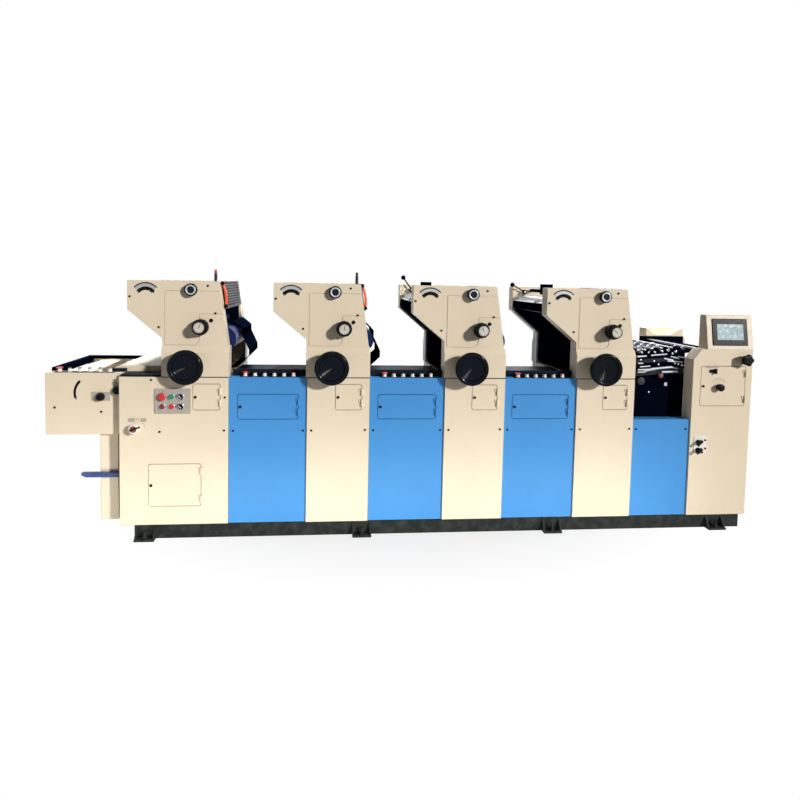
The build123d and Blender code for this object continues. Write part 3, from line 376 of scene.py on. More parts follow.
deck_grey = paint("deck_grey_enamel", (24, 32, 42), (19, 26, 35), 4.0, 0.42, (60, 62, 66),
                  chipped=(70, 74, 80), amount=0.3, shine=0.04)
louvre_grey = paint("louvre_grey_enamel", (54, 54, 57), (46, 46, 49), 4.0, 0.4, (92, 90, 86),
                    chipped=(130, 130, 130), shine=0.2)
panel_grey = paint("panel_grey_enamel", (176, 170, 158), (166, 160, 148), 6.0, 0.4, chipped=(120, 116, 108))
print("paints", len(bpy.data.materials))


# %% [markdown]
# ## Metals and plastics
# Shafts are ground steel, small fittings chrome or blackened steel, and the bars of the feed table
# polished. Handwheels, knobs, rollers and buttons are moulded. Dark pieces get a low specular level,
# because the white room would otherwise grey them.

# %% Metals and plastics
def metal(name, bare, stain, gloss, metallic=1.0, **more):
    """Ground metal in its bare colour and the colour of its stains."""
    return finish(name, ground, {"Metal": bare, "Stain": stain, "Gloss": gloss}, metallic=metallic, **more)


def plastic(name, body, bloom, gloss, bump=0.02, grain=500.0, **more):
    """Moulded plastic or rubber in its own colour and the colour of its bloom."""
    return finish(name, moulded, {"Body": body, "Bloom": bloom, "Gloss": gloss, "Grain Scale": grain},
                  bump=bump, **more)


steel = metal("ground_steel", (156, 160, 166), (96, 95, 94), 0.2)
dark_steel = metal("blackened_steel", (28, 29, 33), (15, 15, 17), 0.32, 0.8, bump=0.08)
bright_bar = metal("polished_bar", (188, 194, 202), (140, 146, 154), 0.25, 0.3, shine=0.25)
chrome = metal("bright_chrome", (206, 208, 212), (160, 162, 166), 0.1, bump=0.02)
scale_metal = metal("scale_aluminium", (176, 178, 180), (120, 120, 122), 0.4, 0.6)
wheel_spun = finish("handwheel_spun", spun, {"Body": (2, 10, 21), "Bloom": (5, 16, 28), "Gloss": 0.1,
                                             "Rim": (2, 9, 18)}, bump=0.1, shine=0.1)
wheel_black = plastic("handwheel_black", (3, 5, 10), (7, 10, 17), 0.26, 0.03, shine=0.1)
knob_black = plastic("knob_black", (5, 5, 8), (12, 12, 15), 0.3, 0.05, shine=0.12)
roller_blue = plastic("roller_rubber_blue", (14, 20, 42), (26, 34, 60), 0.36, 0.08, 220.0, shine=0.15)
cylinder_blue = plastic("cylinder_blanket", (8, 28, 78), (18, 42, 96), 0.28, 0.05, 160.0, shine=0.15)
hose_orange = plastic("hose_orange", (232, 86, 40), (240, 120, 70), 0.32, 0.03)
cap_red = plastic("button_red", (196, 30, 34), (216, 70, 66), 0.25, coat=0.3)
cap_dark_red = plastic("button_dark_red", (120, 20, 26), (140, 44, 44), 0.25, coat=0.3)
cap_green = plastic("button_green", (30, 120, 76), (60, 150, 100), 0.25, coat=0.3)
cap_white = plastic("button_white", (236, 234, 228), (220, 216, 206), 0.3)
dial_white = plastic("dial_white", (212, 206, 194), (190, 184, 170), 0.35)
mark_black = plastic("mark_black", (10, 10, 10), (18, 18, 18), 0.5, shine=0.1)
knob_brown = plastic("knob_brown", (118, 62, 44), (140, 84, 64), 0.35)
bezel_grey = plastic("bezel_grey", (40, 40, 44), (52, 52, 56), 0.42, 0.05, 700.0, shine=0.25)
screen_glass = plastic("screen_glass", (166, 188, 196), (182, 202, 208), 0.08, 0.0, 40.0, coat=0.6)
screen_light = plastic("screen_light", (178, 199, 206), (190, 209, 215), 0.1, 0.0, 40.0)
board_wood = plastic("board_plywood", (176, 140, 96), (150, 114, 74), 0.55, 0.15, 60.0)
print("materials", len(bpy.data.materials))


# %% [markdown]
# ## Painting the frame's own pieces
# Housings, castings, guards and rails keep their CAD shape, which is right already. They only need a
# finish, so each one's material slots get one of the materials above.

# %% Paint the CAD nodes
coats = {
    cream: ["delivery_cabinet", "unit_cabinets", "operator_frames", "drive_frames", "delivery_sides",
            "delivery_posts", "delivery_hood", "feeder_pillar", "feeder_drive_pillar", "feeder_door",
            "service_door", "jogger_board", "console"] + [f"cabinet_door_{i}" for i in range(1, 5)],
    blue: ["blue_panels", "feeder_panels"] + [f"panel_door_{i}" for i in range(1, 4)],
    base_grey: ["base_rails", "base_cross_members", "levelling_feet"],
    guard_black: ["roller_guards", "damping_guards", "feeder_bed", "feed_side_plates", "feed_board",
                  "ink_fountains", "feeder_head", "delivery_bars", "ink_lever_3", "ink_lever_4",
                  "lift_guides"],
    deck_grey: ["transfer_decks"],
    louvre_grey: ["louvre_covers"],
    panel_grey: ["control_panel", "button_strips"],
    fork_blue: ["pile_fork"],
    steel: ["feed_shafts"],
    dark_steel: ["feed_guides"],
    cylinder_blue: ["cylinders"],
    roller_blue: ["ink_rollers"],
    hose_orange: ["air_hoses"],
    wheel_black: ["shaft_caps", "delivery_knobs", "pointer_knob", "star_knob"]
    + [f"{knob}_{i}" for knob in ("handwheel", "dial_knob") for i in range(1, 5)],
    board_wood: ["pile_board"],
}
for material, names in coats.items():
    for name in names:
        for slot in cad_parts[name].material_slots:
            slot.material = material
print("painted", sum(len(names) for names in coats.values()), "of", len(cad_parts), "nodes")


# %% [markdown]
# ## Handwheels
# Each handwheel is a dished disc of black enamel on a hub, for turning a unit by hand. A disc could be
# bevelled and dished in steps; one profile turned about the shaft gives hub, web, rim and dish at once.
# The lathe left fine rings on the dish. They gather the light into a wedge, so they are real ridges.

# %% Handwheels
def soften(profile, rounds=2):
    """Corner cutting: each run of the profile becomes the points a quarter and three quarters along it."""
    line = np.array(profile, float)
    for _ in range(rounds):
        near = line[:-1] * 0.75 + line[1:] * 0.25
        far = line[:-1] * 0.25 + line[1:] * 0.75
        line = np.concatenate([line[:1], np.stack([near, far], axis=1).reshape(-1, 2), line[-1:]])
    return line


def turned(profile, x, y, z, steps=40, lobes=0, depth=0.0):
    """A profile of radius and reach turned about an axis that points to the front: the point at angle a is
    (x + r cos a, y - reach, z + r sin a), with r scaled by 1 + depth cos(lobes a)."""
    line = np.array(profile, float)
    angle = np.linspace(0, 2 * np.pi, steps, endpoint=False)
    radius = line[:, :1] * (1 + depth * np.cos(lobes * angle)[None, :])
    points = press(x + radius * np.cos(angle), y - line[:, 1:] + 0 * radius, z + radius * np.sin(angle))
    return grid(points, wrap=True)


wheel_x, wheel_z = 160, 1085
dish_radius, dish_floor, dish_edge = 74.0, 69.0, 88.0
ring_pitch, ring_height = 2.6, 0.2
wheel_rim = soften([(0, -42), (12, -42), (12, 5), (24, 5), (24, 57), (91, 63), (101, 67), (106, 76),
                    (106, 88), (102, 98), (94, 102), (84, 100), (77, 94), (dish_radius, dish_edge)])
dish = np.linspace(dish_radius, 0, 150)[1:]
lathe_rings = ring_height * (np.cos(2 * np.pi * dish / ring_pitch) - 1)
dish_reach = dish_floor + (dish_edge - dish_floor) * dish / dish_radius + lathe_rings
wheel_line = np.concatenate([wheel_rim, np.stack([dish, dish_reach], axis=-1)])
for i, step in enumerate(unit_steps):
    body = f"handwheel_{i + 1}"
    wheel = make_piece(f"handwheel_disc_{i + 1}", [turned(wheel_line, step + wheel_x, 0, wheel_z, 96)],
                       wheel_spun, body, 50)
    corners = np.empty(3 * len(wheel.data.vertices), np.float32)
    wheel.data.vertices.foreach_get("co", corners)
    from_shaft = corners.reshape(-1, 3) - press(step + wheel_x, 0, wheel_z)
    spin = wheel.data.attributes.new("spin", "FLOAT", "POINT")
    spin.data.foreach_set("value", np.hypot(from_shaft[:, 0], from_shaft[:, 2]))
    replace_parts(wheel, body)
print("handwheels, points in profile:", len(wheel_line))


# %% [markdown]
# ## Dial knobs
# The dial knob beside the inspection cover sets a unit's register. It has a fluted grip and a white
# dial in its face. The flutes are a cosine on the turned radius, and the dial is a disc with tick marks
# and a pointer, each a thin bar, because engraved marks would be too fine to model.

# %% Dial knobs
def ticks(x, y, z, inner, outer, count, width, sweep=360.0, first=90.0, thick=0.6):
    """Thin bars between two radii, spread over a sweep of angles. Each has four corners on its face and four
    on its back, and both sides are closed to their middles. All bars are worked out as one array."""
    angle = np.radians(first - np.linspace(0, sweep, count, endpoint=sweep < 360))
    along = np.stack([np.cos(angle), 0 * angle, np.sin(angle)], axis=-1)
    side = np.stack([-np.sin(angle), 0 * angle, np.cos(angle)], axis=-1) * width / 2
    low, high = along * inner, along * outer
    front = np.stack([low - side, high - side, high + side, low + side], axis=1) + [x, y, z]
    back = front + [0, thick, 0]
    ends = [np.repeat(ring.mean(1, keepdims=True), 4, axis=1) for ring in (back, front)]
    bars = np.stack([ends[0], back, front, ends[1]], axis=1)
    return [grid(bar / 1000 + neck, wrap=True) for bar in bars]


dial_x, dial_z, dial_ticks = 233, 1322, 20
grip_line = soften([(0, -42), (9, -42), (9, 5), (37.6, 5), (47, 9.8), (49.5, 13.1), (49.5, 44), (46, 50),
                    (37, 56), (37, 80.4), (36, 82), (32.4, 82), (31.5, 78.7), (0, 78.7)])
dial_line = soften([(0, 78.2), (30.8, 78.2), (31.4, 79.7), (30.6, 80.3), (0, 80.3)])
for i, step in enumerate(unit_steps):
    body = f"dial_knob_{i + 1}"
    x, z = step + dial_x, dial_z
    grip = [turned(grip_line, x, frame_y, z, 96, 12, 0.018)]
    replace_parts(make_piece(f"dial_rim_{i + 1}", grip, wheel_black, body, 50), body)
    make_piece(f"dial_face_{i + 1}", [turned(dial_line, x, frame_y, z, 64)], dial_white, body)
    pointer = ticks(x, frame_y - 80.6, z, -5, 21, 1, 3.6, 1, 60 + 25 * i)
    marks = ticks(x, frame_y - 80.5, z, 23, 29, dial_ticks, 1.4)
    make_piece(f"dial_marks_{i + 1}", marks + pointer, mark_black, body)
print("dial knobs with", dial_ticks, "ticks each")


# %% [markdown]
# ## Shaft caps
# High on each frame a black cap covers the end of a roller shaft. It has a bright ring round a dark
# hexagon socket. The hexagon is the same turned profile with six steps.

# %% Shaft caps
def on_frames(profile, x, z, steps, lobes=0, depth=0.0):
    """One turned shape at the same place on each of the four side frames."""
    return [turned(profile, s + x, frame_y, z, steps, lobes, depth) for s in unit_steps]


cap_x, cap_z = 175, 1548
cap_line = soften([(0, 0), (32.4, 0), (32.4, 12), (39, 16), (39.5, 30.6), (36.5, 34), (21.6, 34),
                   (20.2, 29.2), (0, 29.2)])
ring_line = soften([(21, 30), (30.5, 32), (31, 35), (29, 36.4), (23, 36.4), (21, 35), (21, 30)], 1)
socket_line = [(0, 28.6), (17, 28.6), (16, 31.6), (9, 31.8), (8, 30), (0, 30)]
caps = make_piece("vibrator_caps", on_frames(cap_line, cap_x, cap_z, 72, 16, 0.012), wheel_black, sharp=50)
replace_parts(caps, "shaft_caps")
make_piece("vibrator_rings", on_frames(ring_line, cap_x, cap_z, 72), bright_bar)
make_piece("vibrator_sockets", on_frames(socket_line, cap_x, cap_z, 6), dark_steel, sharp=20)
print("shaft caps on", len(unit_steps), "frames")


# %% [markdown]
# ## Scale plates and slots
# A pointer runs in a curved slot at the top of each frame, under a scale plate bent to the same arc. A
# bent strip could follow a curve object; a small rectangle carried through an angle gives plate,
# border, rim and liner alike.

# %% Scale plates
def arc_band(x, z, inner, outer, half, y, back, face, middle=90.0, steps=40):
    """A band of an arc about (x, z): a small rectangle carried through the angles from middle + half to
    middle - half, and closed at both ends to its middle."""
    angle = np.radians(middle + np.linspace(half, -half, steps))[:, None]
    corner = np.array([[inner, back], [outer, back], [outer, face], [inner, face], [inner, back]])
    radius, reach = corner[:, 0], corner[:, 1] + 0 * angle
    points = press(x + radius * np.cos(angle), y - reach, z + radius * np.sin(angle))
    ends = [np.repeat(points[k:k + 1, :4].mean(1, keepdims=True), 5, axis=1) for k in (0, steps - 1)]
    return grid(np.concatenate([ends[0], points, ends[1]]))


scale_x, scale_z = -97.0, 1494.0
for name, inner, outer, half, back, face, material in (
        ("scale_plates", 71, 88, 46, -0.2, 1.8, scale_metal),
        ("scale_borders", 88, 95, 46, -0.2, 2.4, mark_black),
        ("slot_liners", 52.6, 63.4, 50, -16, -4, mark_black)):
    bands = [arc_band(s + scale_x, scale_z, inner, outer, half, frame_y, back, face) for s in unit_steps]
    make_piece(name, bands, material)
slot_rims = [arc_band(s + scale_x, scale_z, inner, inner + 5, 52, frame_y, -0.2, 1.0)
             for s in unit_steps for inner in (47, 64)]
make_piece("slot_rims", slot_rims, mark_black)
scale_marks = [bar for s in unit_steps
               for bar in ticks(s + scale_x, frame_y - 2, scale_z, 77, 87, 17, 0.9, 84, 132)]
make_piece("scale_marks", scale_marks, mark_black)
print("scale plates with", len(scale_marks), "marks")


# %% [markdown]
# ## Screws
# Covers and panels are held by black socket screws. One turned profile with a sunk socket is repeated
# at every place, and all the screws of the press are one mesh, which keeps the list of pieces short.

# %% Screws
screw = soften([(0, 0), (6.6, 0), (6.6, 3.6), (5.6, 5.0), (3.4, 5.0), (3.1, 2.2), (0, 2.0)], 1)
frame_spots = ((-190, frame_y, 1502), (272, frame_y, 1573), (-20, frame_y, 1317), (318, frame_y, 1406),
               (375, 0, 683))
panel_spots = ((428, panel_y, 678), (858, panel_y, 678), (910, 0, 681))
spots = [(s + x, y, z) for s in unit_steps for x, y, z in frame_spots]
spots += [(s + x, y, z) for s in unit_steps[:3] for x, y, z in panel_spots]
spots += [(-60, 0, 996), (-11, 0, 676), (379, 0, 889), (-648, 60, 814), (-375, 60, 787),
          (3044, panel_y, 678), (3390, panel_y, 678)]
make_piece("cover_screws", [turned(screw, *spot, steps=20) for spot in spots], knob_black)
plug = soften([(0, 0), (12, 0), (12, 3), (9.5, 5.5), (0, 6.5)])
make_piece("frame_plugs", on_frames(plug, 292, 1361, 32), mark_black)
print("screws", len(spots))


# %% [markdown]
# ## Control panel
# The first cabinet carries a grey plate with push buttons and two selector switches. Each has a bright
# bezel ring; the caps are turned profiles in their own colours. The plate is drawn as rings from its
# back to its face, so that its corners are round and its edge is broken, as on folded sheet.

# %% Control panel
def rounded(x0, x1, z0, z1, corner, set_out=0.0, steps=6):
    """The x and z of a rectangle with corner arcs, drawn once round and set out by a margin."""
    angle = np.concatenate([np.linspace(0, np.pi / 2, steps) + k * np.pi / 2 for k in range(4)])
    side = np.repeat([[1, 1], [-1, 1], [-1, -1], [1, -1]], steps, axis=0)
    half = np.array([(x1 - x0) / 2, (z1 - z0) / 2])
    centres = np.array([(x0 + x1) / 2, (z0 + z1) / 2]) + side * (half - corner)
    return (centres + (corner + set_out) * np.stack([np.cos(angle), np.sin(angle)], axis=-1)).T


def plate(x0, x1, z0, z1, y, thick, corner=6.0, edge=1.2):
    """A plate that faces front: its rounded outline on the back, at the edge and on the face, set in by the
    broken edge there, with both sides closed to the middle."""
    outline = rounded(x0, x1, z0, z1, corner)
    middle = np.array([[(x0 + x1) / 2], [(z0 + z1) / 2]]) + 0 * outline
    shapes = np.array([middle, outline, outline, rounded(x0, x1, z0, z1, corner, -edge), middle])
    reach = np.array([0.0, 0.0, thick - edge, thick, thick])[:, None] + 0 * outline[0]
    return grid(press(shapes[:, 0], y - reach, shapes[:, 1]), wrap=True)


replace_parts(make_piece("control_plate", [plate(-41, 175, 789, 943, 0, 6, 8)], panel_grey), "control_panel")
columns, rows = [6, 61, 115], [834, 895]
bezel = soften([(0, 5.5), (22, 5.5), (22, 9), (19.5, 12), (16, 12), (15, 9), (0, 9)], 1)
make_piece("button_bezels", [turned(bezel, x, 0, z, 40) for x in columns for z in rows], chrome)
mushroom = soften([(0, 8), (12, 8), (12, 14), (24, 16), (25, 21), (21, 26), (0, 28)])
flat_cap = soften([(0, 8), (15, 8), (15.5, 16), (14, 18.5), (0, 19.5)])
make_piece("stop_button", [turned(mushroom, columns[0], 0, rows[1], 48)], cap_red)
make_piece("run_button", [turned(flat_cap * [1.15, 1], columns[1], 0, rows[1], 40)], cap_green)
make_piece("inch_button", [turned(flat_cap * [1.1, 1], columns[0], 0, rows[0], 40)], cap_dark_red)
make_piece("hold_button", [turned(flat_cap * [1.1, 1], columns[1], 0, rows[0], 40)], cap_red)
selectors = [turned(flat_cap, columns[2], 0, z, 40) for z in rows]
selectors += [bar for z in rows for bar in ticks(columns[2], -26, z, -19, 19, 1, 13, 1, 138, 10)]
make_piece("selectors", selectors, knob_black)
selector_marks = [bar for z in rows for bar in ticks(columns[2], -26.8, z, -9, 15, 1, 4, 1, 138)]
make_piece("selector_marks", selector_marks, cap_white)
print("control panel with", len(columns) * len(rows), "controls")


# %% [markdown]
# ## Console screen
# The console leans back on the feeder pillar, and its touch screen sits in a dark bezel. The plates are
# worked out upright and then leaned back with the console's face, which is simpler than drawing them on
# a slope. The screen shows only pale fields.

# %% Console
console_x, console_foot = 3673.0, 1215.0
lean = math.atan2(38, 225)


def on_console(x0, x1, z0, z1, y, thick, corner, edge):
    """A plate placed from the console's middle and foot, its y and z turned about the foot by the lean."""
    x, z = console_x, console_foot
    points, faces = plate(x + x0, x + x1, z + z0, z + z1, y, thick, corner, edge)
    foot = press(x, 0.0, z)
    flat = points - foot
    y_leaned = flat[:, 1] * math.cos(lean) + flat[:, 2] * math.sin(lean)
    z_leaned = flat[:, 2] * math.cos(lean) - flat[:, 1] * math.sin(lean)
    return np.stack([flat[:, 0], y_leaned, z_leaned], axis=-1) + foot, faces


make_piece("screen_bezel", [on_console(-124, 124, 25, 203, 3.8, 9.5, 8, 2.5)], knob_black)
make_piece("screen_glass", [on_console(-93, 93, 62, 168, -5.6, 1.0, 3, 0.6)], screen_glass)
tiles = [on_console(x, x + 38, z, z + 20, -6.5, 0.5, 2, 0.2) for x in (-84, -38, 8) for z in (76, 104)]
make_piece("screen_tiles", tiles + [on_console(-88, 88, 148, 163, -6.5, 0.5, 2, 0.2)], screen_light)
make_piece("screen_key", [on_console(76, 92, 36, 46, -5.6, 1.6, 3, 0.6)], knob_black)
print("console leans", round(math.degrees(lean), 1), "degrees")


# %% [markdown]
# ## Ink rollers
# Between the side frames a train of rollers carries ink from the fountain to the plate. The fountain
# roller is ground steel; the others are dark blue rubber with rounded shoulders on steel journals. They
# are turned profiles again, only long ones. A thin black sheet on the inner face of each drive frame is
# painted shade: it darkens the frame behind the rollers, where the shade between the frames falls.

# %% Ink rollers
roller_front, roller_length, journal_length = 115, 620, 5


def roller(x, z, radius):
    """A sleeve across the press with rounded shoulders: a turned profile counted from its front end."""
    line = [(0, 0), (radius - 4, 0), (radius, -5), (radius, 5 - roller_length), (radius - 4, -roller_length),
            (0, -roller_length)]
    return turned(soften(line, 1), x, roller_front, z, 48)


def journals(x, z, radius):
    """The steel journals at both ends of a roller, as short turned discs."""
    line = [(0, 0), (radius, 0), (radius, -journal_length), (0, -journal_length)]
    front, rear = roller_front - journal_length, roller_front + roller_length
    return [turned(line, x, y, z, 24) for y in (front, rear)]


train = [(-62, 1478), (24, 1452), (110, 1476), (84, 1378), (256, 1330)]
fountain = (-150, 1503)
rubber = [roller(s + x, z, 34) for s in unit_steps for x, z in train]
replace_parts(make_piece("rubber_rollers", rubber, roller_blue), "ink_rollers")
make_piece("fountain_rollers", [roller(s + fountain[0], fountain[1], 30) for s in unit_steps], steel)
ends = [end for s in unit_steps for x, z in train + [fountain] for end in journals(s + x, z, 10)]
make_piece("roller_journals", ends, steel)
# Painted shade: black sheets on the drive frames' inner faces, dark as the shade there.
shade_sheets = [plate(s + 236, s + 350, 1205, 1470, 740.5, 3, 10) for s in unit_steps]
make_piece("drive_frame_shade_sheets", shade_sheets, guard_black)
lip = soften([(0, 0), (8, 0), (8, -621), (0, -621)], 1)
make_piece("fountain_lips", [turned(lip, s - 190, 112, 1496, 24) for s in unit_steps], chrome)
grip = soften([(0, 0), (13, 0), (15, -4), (15, -34), (12, -40), (0, -40)])
grips = [turned(grip, s - 188, 240, 1502, 32, 12, 0.04) for s in unit_steps]
make_piece("fountain_grips", grips, scale_metal)
print("rollers", len(unit_steps) * (len(train) + 1))


# %% [markdown]
# ## Push buttons on the decks
# A strip with a large red button and a row of small ones stands on each blue panel and on the delivery.
# The white bodies and the caps are profiles again, turned about standing axes.

# %% Push buttons
def upright(profile, x, y, z, steps=28):
    """A profile of radius and height turned about a standing axis: x + r cos a, y + r sin a, z + height."""
    line = np.array(profile, float)
    angle = np.linspace(0, 2 * np.pi, steps, endpoint=False)
    radius = line[:, :1]
    points = press(x + radius * np.cos(angle), y + radius * np.sin(angle), z + line[:, 1:] + 0 * angle)
    return grid(points, wrap=True)


button_pitch, button_count = 59.5, 6
strip_height, strip_depth = 4, 34
button_low = [(0, 0), (14, 0), (14, 3), (11, 4), (11, 19), (10, 20), (0, 20)]
stop_cap = soften([(0, 18), (19, 18), (20, 22), (17, 27), (0, 28)])
end_cap = soften([(0, 19), (10, 19), (10, 24), (0, 25)])
small_cap = soften([(0, 19), (12, 19), (12, 25), (0, 26)])
strips = [(s + 496.0, 22.0, 1013.0) for s in unit_steps[:3]] + [(-633.25, 82.0, 1026.0)]
strip_plates, bodies, red_caps, black_caps = [], [], [], []
for x, y, z in strips:
    strip_plates.append(plate(x - 29, x + 326, z, z + strip_height, y + strip_depth, strip_depth, 1.5, 0.8))
    spots = [(x + button_pitch * k, y + strip_depth / 2, z + strip_height) for k in range(button_count)]
    bodies += [upright(button_low, *spot, 24) for spot in spots]
    red_caps += [upright(stop_cap, *spots[0]), upright(end_cap, *spots[-1])]
    black_caps += [upright(small_cap, *spot) for spot in spots[1:-1]]
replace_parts(make_piece("button_rails", strip_plates, dark_steel), "button_strips")
make_piece("button_bodies", bodies, cap_white)
make_piece("button_red_caps", red_caps, cap_red)
make_piece("button_black_caps", black_caps, knob_black)
print("push buttons", button_count * len(strips))


# %% [markdown]
# ## Delivery knobs
# The delivery's side has two pointer knobs on bare plates and a curved slot for a stop. The knobs are
# turned profiles with a raised bar for the fingers.

# %% Delivery knobs
delivery_y = 60
delivery_spots = ((-377, 881), (-279, 921))
knob_line = soften([(0, 0), (25, 0), (26.5, 8), (23, 12), (22, 24), (18, 28), (0, 28)])
pointers = [turned(knob_line, x, delivery_y - 2, z, 40) for x, z in delivery_spots]
pointers += [plate(x - 5, x + 5, z - 20, z + 26, delivery_y - 28, 8, 3) for x, z in delivery_spots]
bare_plates = [plate(-434, -322, 855, 910, delivery_y, 2, 5),
               plate(-312, -284, 950, 972, delivery_y, 1.5, 4)]
make_piece("delivery_plates", bare_plates, panel_grey)
make_piece("delivery_slot", [arc_band(-430, 902, 94.6, 109.4, 30.0, delivery_y, -16, -3, 167)], mark_black)
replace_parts(make_piece("delivery_pointers", pointers, knob_black), "delivery_knobs")
print("delivery knobs", len(delivery_spots))


# %% [markdown]
# ## Pointer knob and star knob
# A white knob with a brown centre and a pointer sets the first unit, between tick marks and two bare
# tags. The star knob on the feeder pillar has five lobes to grip: a cosine on the turned radius makes
# them.

# %% Pointer knob and star knob
pointer_x, pointer_z = -152, 704
stem = soften([(0, -42), (6, -42), (6, 5), (18, 5), (21, 25), (28, 30), (30, 34), (30, 47),
               (27, 51.5), (0, 51.5)])
centre_line = soften([(0, 50.5), (20, 50.5), (20, 53), (0, 54)])
body = "pointer_knob"
white_knob = make_piece("pointer_body", [turned(stem, pointer_x, 0, pointer_z, 48)], cap_white, body)
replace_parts(white_knob, "pointer_knob")
make_piece("pointer_centre", [turned(centre_line, pointer_x, 0, pointer_z, 40)], knob_brown, body)
make_piece("pointer_marks", ticks(pointer_x, -0.4, pointer_z, 47, 55, 9, 2.2, 110, 112), mark_black)
tags = [plate(x0, x1, 738, 760, 0, 0.8, 2, 0.3) for x0, x1 in ((-198, -160), (-122, -90))]
make_piece("pointer_tags", tags, panel_grey)
make_piece("pointer_bar", ticks(pointer_x, -55.5, pointer_z, -22, 44, 1, 10, 1, 20), knob_black, body)
star_x, star_z = 3766, 1148
lobed = soften([(0, 28), (34, 28), (37, 33), (37, 50), (32, 57), (0, 58)])
shaft = soften([(0, -42), (8, -42), (8, 5), (13, 5), (13, 41), (0, 41)], 1)
star = [turned(lobed, star_x, 0, star_z, 90, 5, 0.1), turned(shaft, star_x, 0, star_z, 32)]
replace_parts(make_piece("star_grip", star, knob_black, "star_knob", 50), "star_knob")
print("pointer knob and star knob done")


# %% [markdown]
# ## Latches
# Every door has a round quarter-turn latch with a slot. A latch is a short turned profile and its slot
# a narrow plate, and both ride on the door, so that they swing with it.

# %% Latches
latch_line = soften([(0, 4.8), (9, 4.8), (9, 6.2), (7, 7.6), (0, 7.6)], 1)
doors = [(f"cabinet_door_{i + 1}", s + 203, 0, 891) for i, s in enumerate(unit_steps)]
doors += [(f"panel_door_{i + 1}", s + 471, panel_y, 828.5) for i, s in enumerate(unit_steps[:3])]
doors += [("service_door", -62, 0, 342.5), ("feeder_door", 3491, 0, 968.5)]
for body, x, y, z in doors:
    make_piece(f"{body}_latch", [turned(latch_line, x, y, z, 32)], dark_steel, body)
    make_piece(f"{body}_slot", [plate(x - 1, x + 1, z - 5, z + 5, y - 7.4, 0.8, 0.6, 0.2)], mark_black, body)
print("latches", len(doors))


# %% [markdown]
# ## Door seals
# A painted lip lines each door opening, so that only a thin line shows between the leaf and its
# housing. It is a small rectangle carried round the leaf's outline. It stays on the housing and leaves
# the leaf free to swing.

# %% Door seals
def seal(x0, x1, z0, z1, y):
    """A lip round a door: the leaf's outline set out by 2.6 to 5 mm, from 0.8 to 6 mm behind the face."""
    section = ((5.0, 0.8), (5.0, 6.0), (2.6, 6.0), (2.6, 0.8), (5.0, 0.8))
    rings = np.array([rounded(x0, x1, z0, z1, 12, set_out) for set_out, depth in section])
    depths = np.array([depth for set_out, depth in section])[:, None] + 0 * rings[:, 0]
    return grid(press(rings[:, 0], y + depths, rings[:, 1]), wrap=True)


cabinet_lips = [seal(s + 187, s + 348, 812, 970, 0) for s in unit_steps]
cabinet_lips += [seal(-78, 235, 212, 473, 0), seal(3475, 3784, 837, 1100, 0)]
panel_lips = [seal(s + 455, s + 825, 752, 905, panel_y) for s in unit_steps[:3]]
make_piece("cabinet_seals", cabinet_lips, cream)
make_piece("panel_seals", panel_lips, blue)
print("door seals", len(cabinet_lips) + len(panel_lips))


# %% [markdown]
# ## Feeder fittings
# The feeder door carries a round knob and a slotted lever plate; lower down the pillar has two small
# air valves on a white plate. All are turned profiles, plates and bars.

# %% Feeder fittings
dome_x, dome_z = 3601, 962
dome = soften([(0, 0), (20, 0), (21, 5), (16, 9), (15, 16), (24, 20), (25, 30), (19, 36), (0, 37)])
make_piece("feeder_door_knob", [turned(dome, dome_x, 0, dome_z, 40)], knob_black, "feeder_door")
lever = [plate(3530, 3582, 1058, 1080, 0, 5, 10, 0.8), plate(3562, 3576, 1052, 1086, -5, 14, 5, 1.5)]
make_piece("feeder_door_lever", lever, knob_black, "feeder_door")
make_piece("feeder_door_tag", [plate(3503, 3596, 1090, 1098, 0, 0.8, 2, 0.3)], panel_grey, "feeder_door")
door_marks = ticks(dome_x, -0.4, dome_z, 52, 60, 9, 2.2, 90, 135)
make_piece("feeder_door_marks", door_marks, mark_black, "feeder_door")
valve_heights = (592, 538)
valve_line = soften([(0, 3.5), (17, 3.5), (18, 12), (13, 17), (12, 27), (8, 30), (0, 31)])
valve_screws = [turned(screw, x, -4, z, 16) for x, z in ((3523, 605), (3526, 549), (3506, 522))]
valve_levers = [bar for z in valve_heights for bar in ticks(3473, -34, z, -26, 22, 1, 16, 1, 40, 12)]
make_piece("valve_plates", [plate(3446, 3534, 518, 632, 0, 4, 5)], cap_white)
make_piece("valve_screws", valve_screws, dark_steel)
make_piece("valve_levers", valve_levers, knob_black)
make_piece("valve_bodies", [turned(valve_line, 3475, 0, z, 40) for z in valve_heights], knob_black)
print("feeder valves", len(valve_heights))


# %% [markdown]
# ## Air hoses
# A short stiff hose bows between two fittings on the sloping edge of the first two operator frames,
# beside an upright locking pin with a coloured tip. The tube is a circle carried along a parabola that
# stands off the edge.

# %% Air hoses
def tube(path, radius, steps=16):
    """A circle carried along a path: each ring stands square to the path, turned from a fixed side vector,
    and both ends are closed to the path."""
    line = np.array(path, float)
    along = np.gradient(line, axis=0)
    along /= np.linalg.norm(along, axis=1)[:, None]
    side = np.cross(along, [0.0, 1.0, 0.0])
    side /= np.linalg.norm(side, axis=1)[:, None]
    other = np.cross(along, side)
    angle = np.linspace(0, 2 * np.pi, steps, endpoint=False)[None, :, None]
    ring = side[:, None, :] * np.cos(angle) + other[:, None, :] * np.sin(angle)
    points = line[:, None, :] + radius * ring
    caps = [np.repeat(line[k:k + 1, None, :], steps, axis=1) for k in (0, len(line) - 1)]
    return grid(np.concatenate([caps[0], points, caps[1]]) / 1000 + neck, wrap=True)


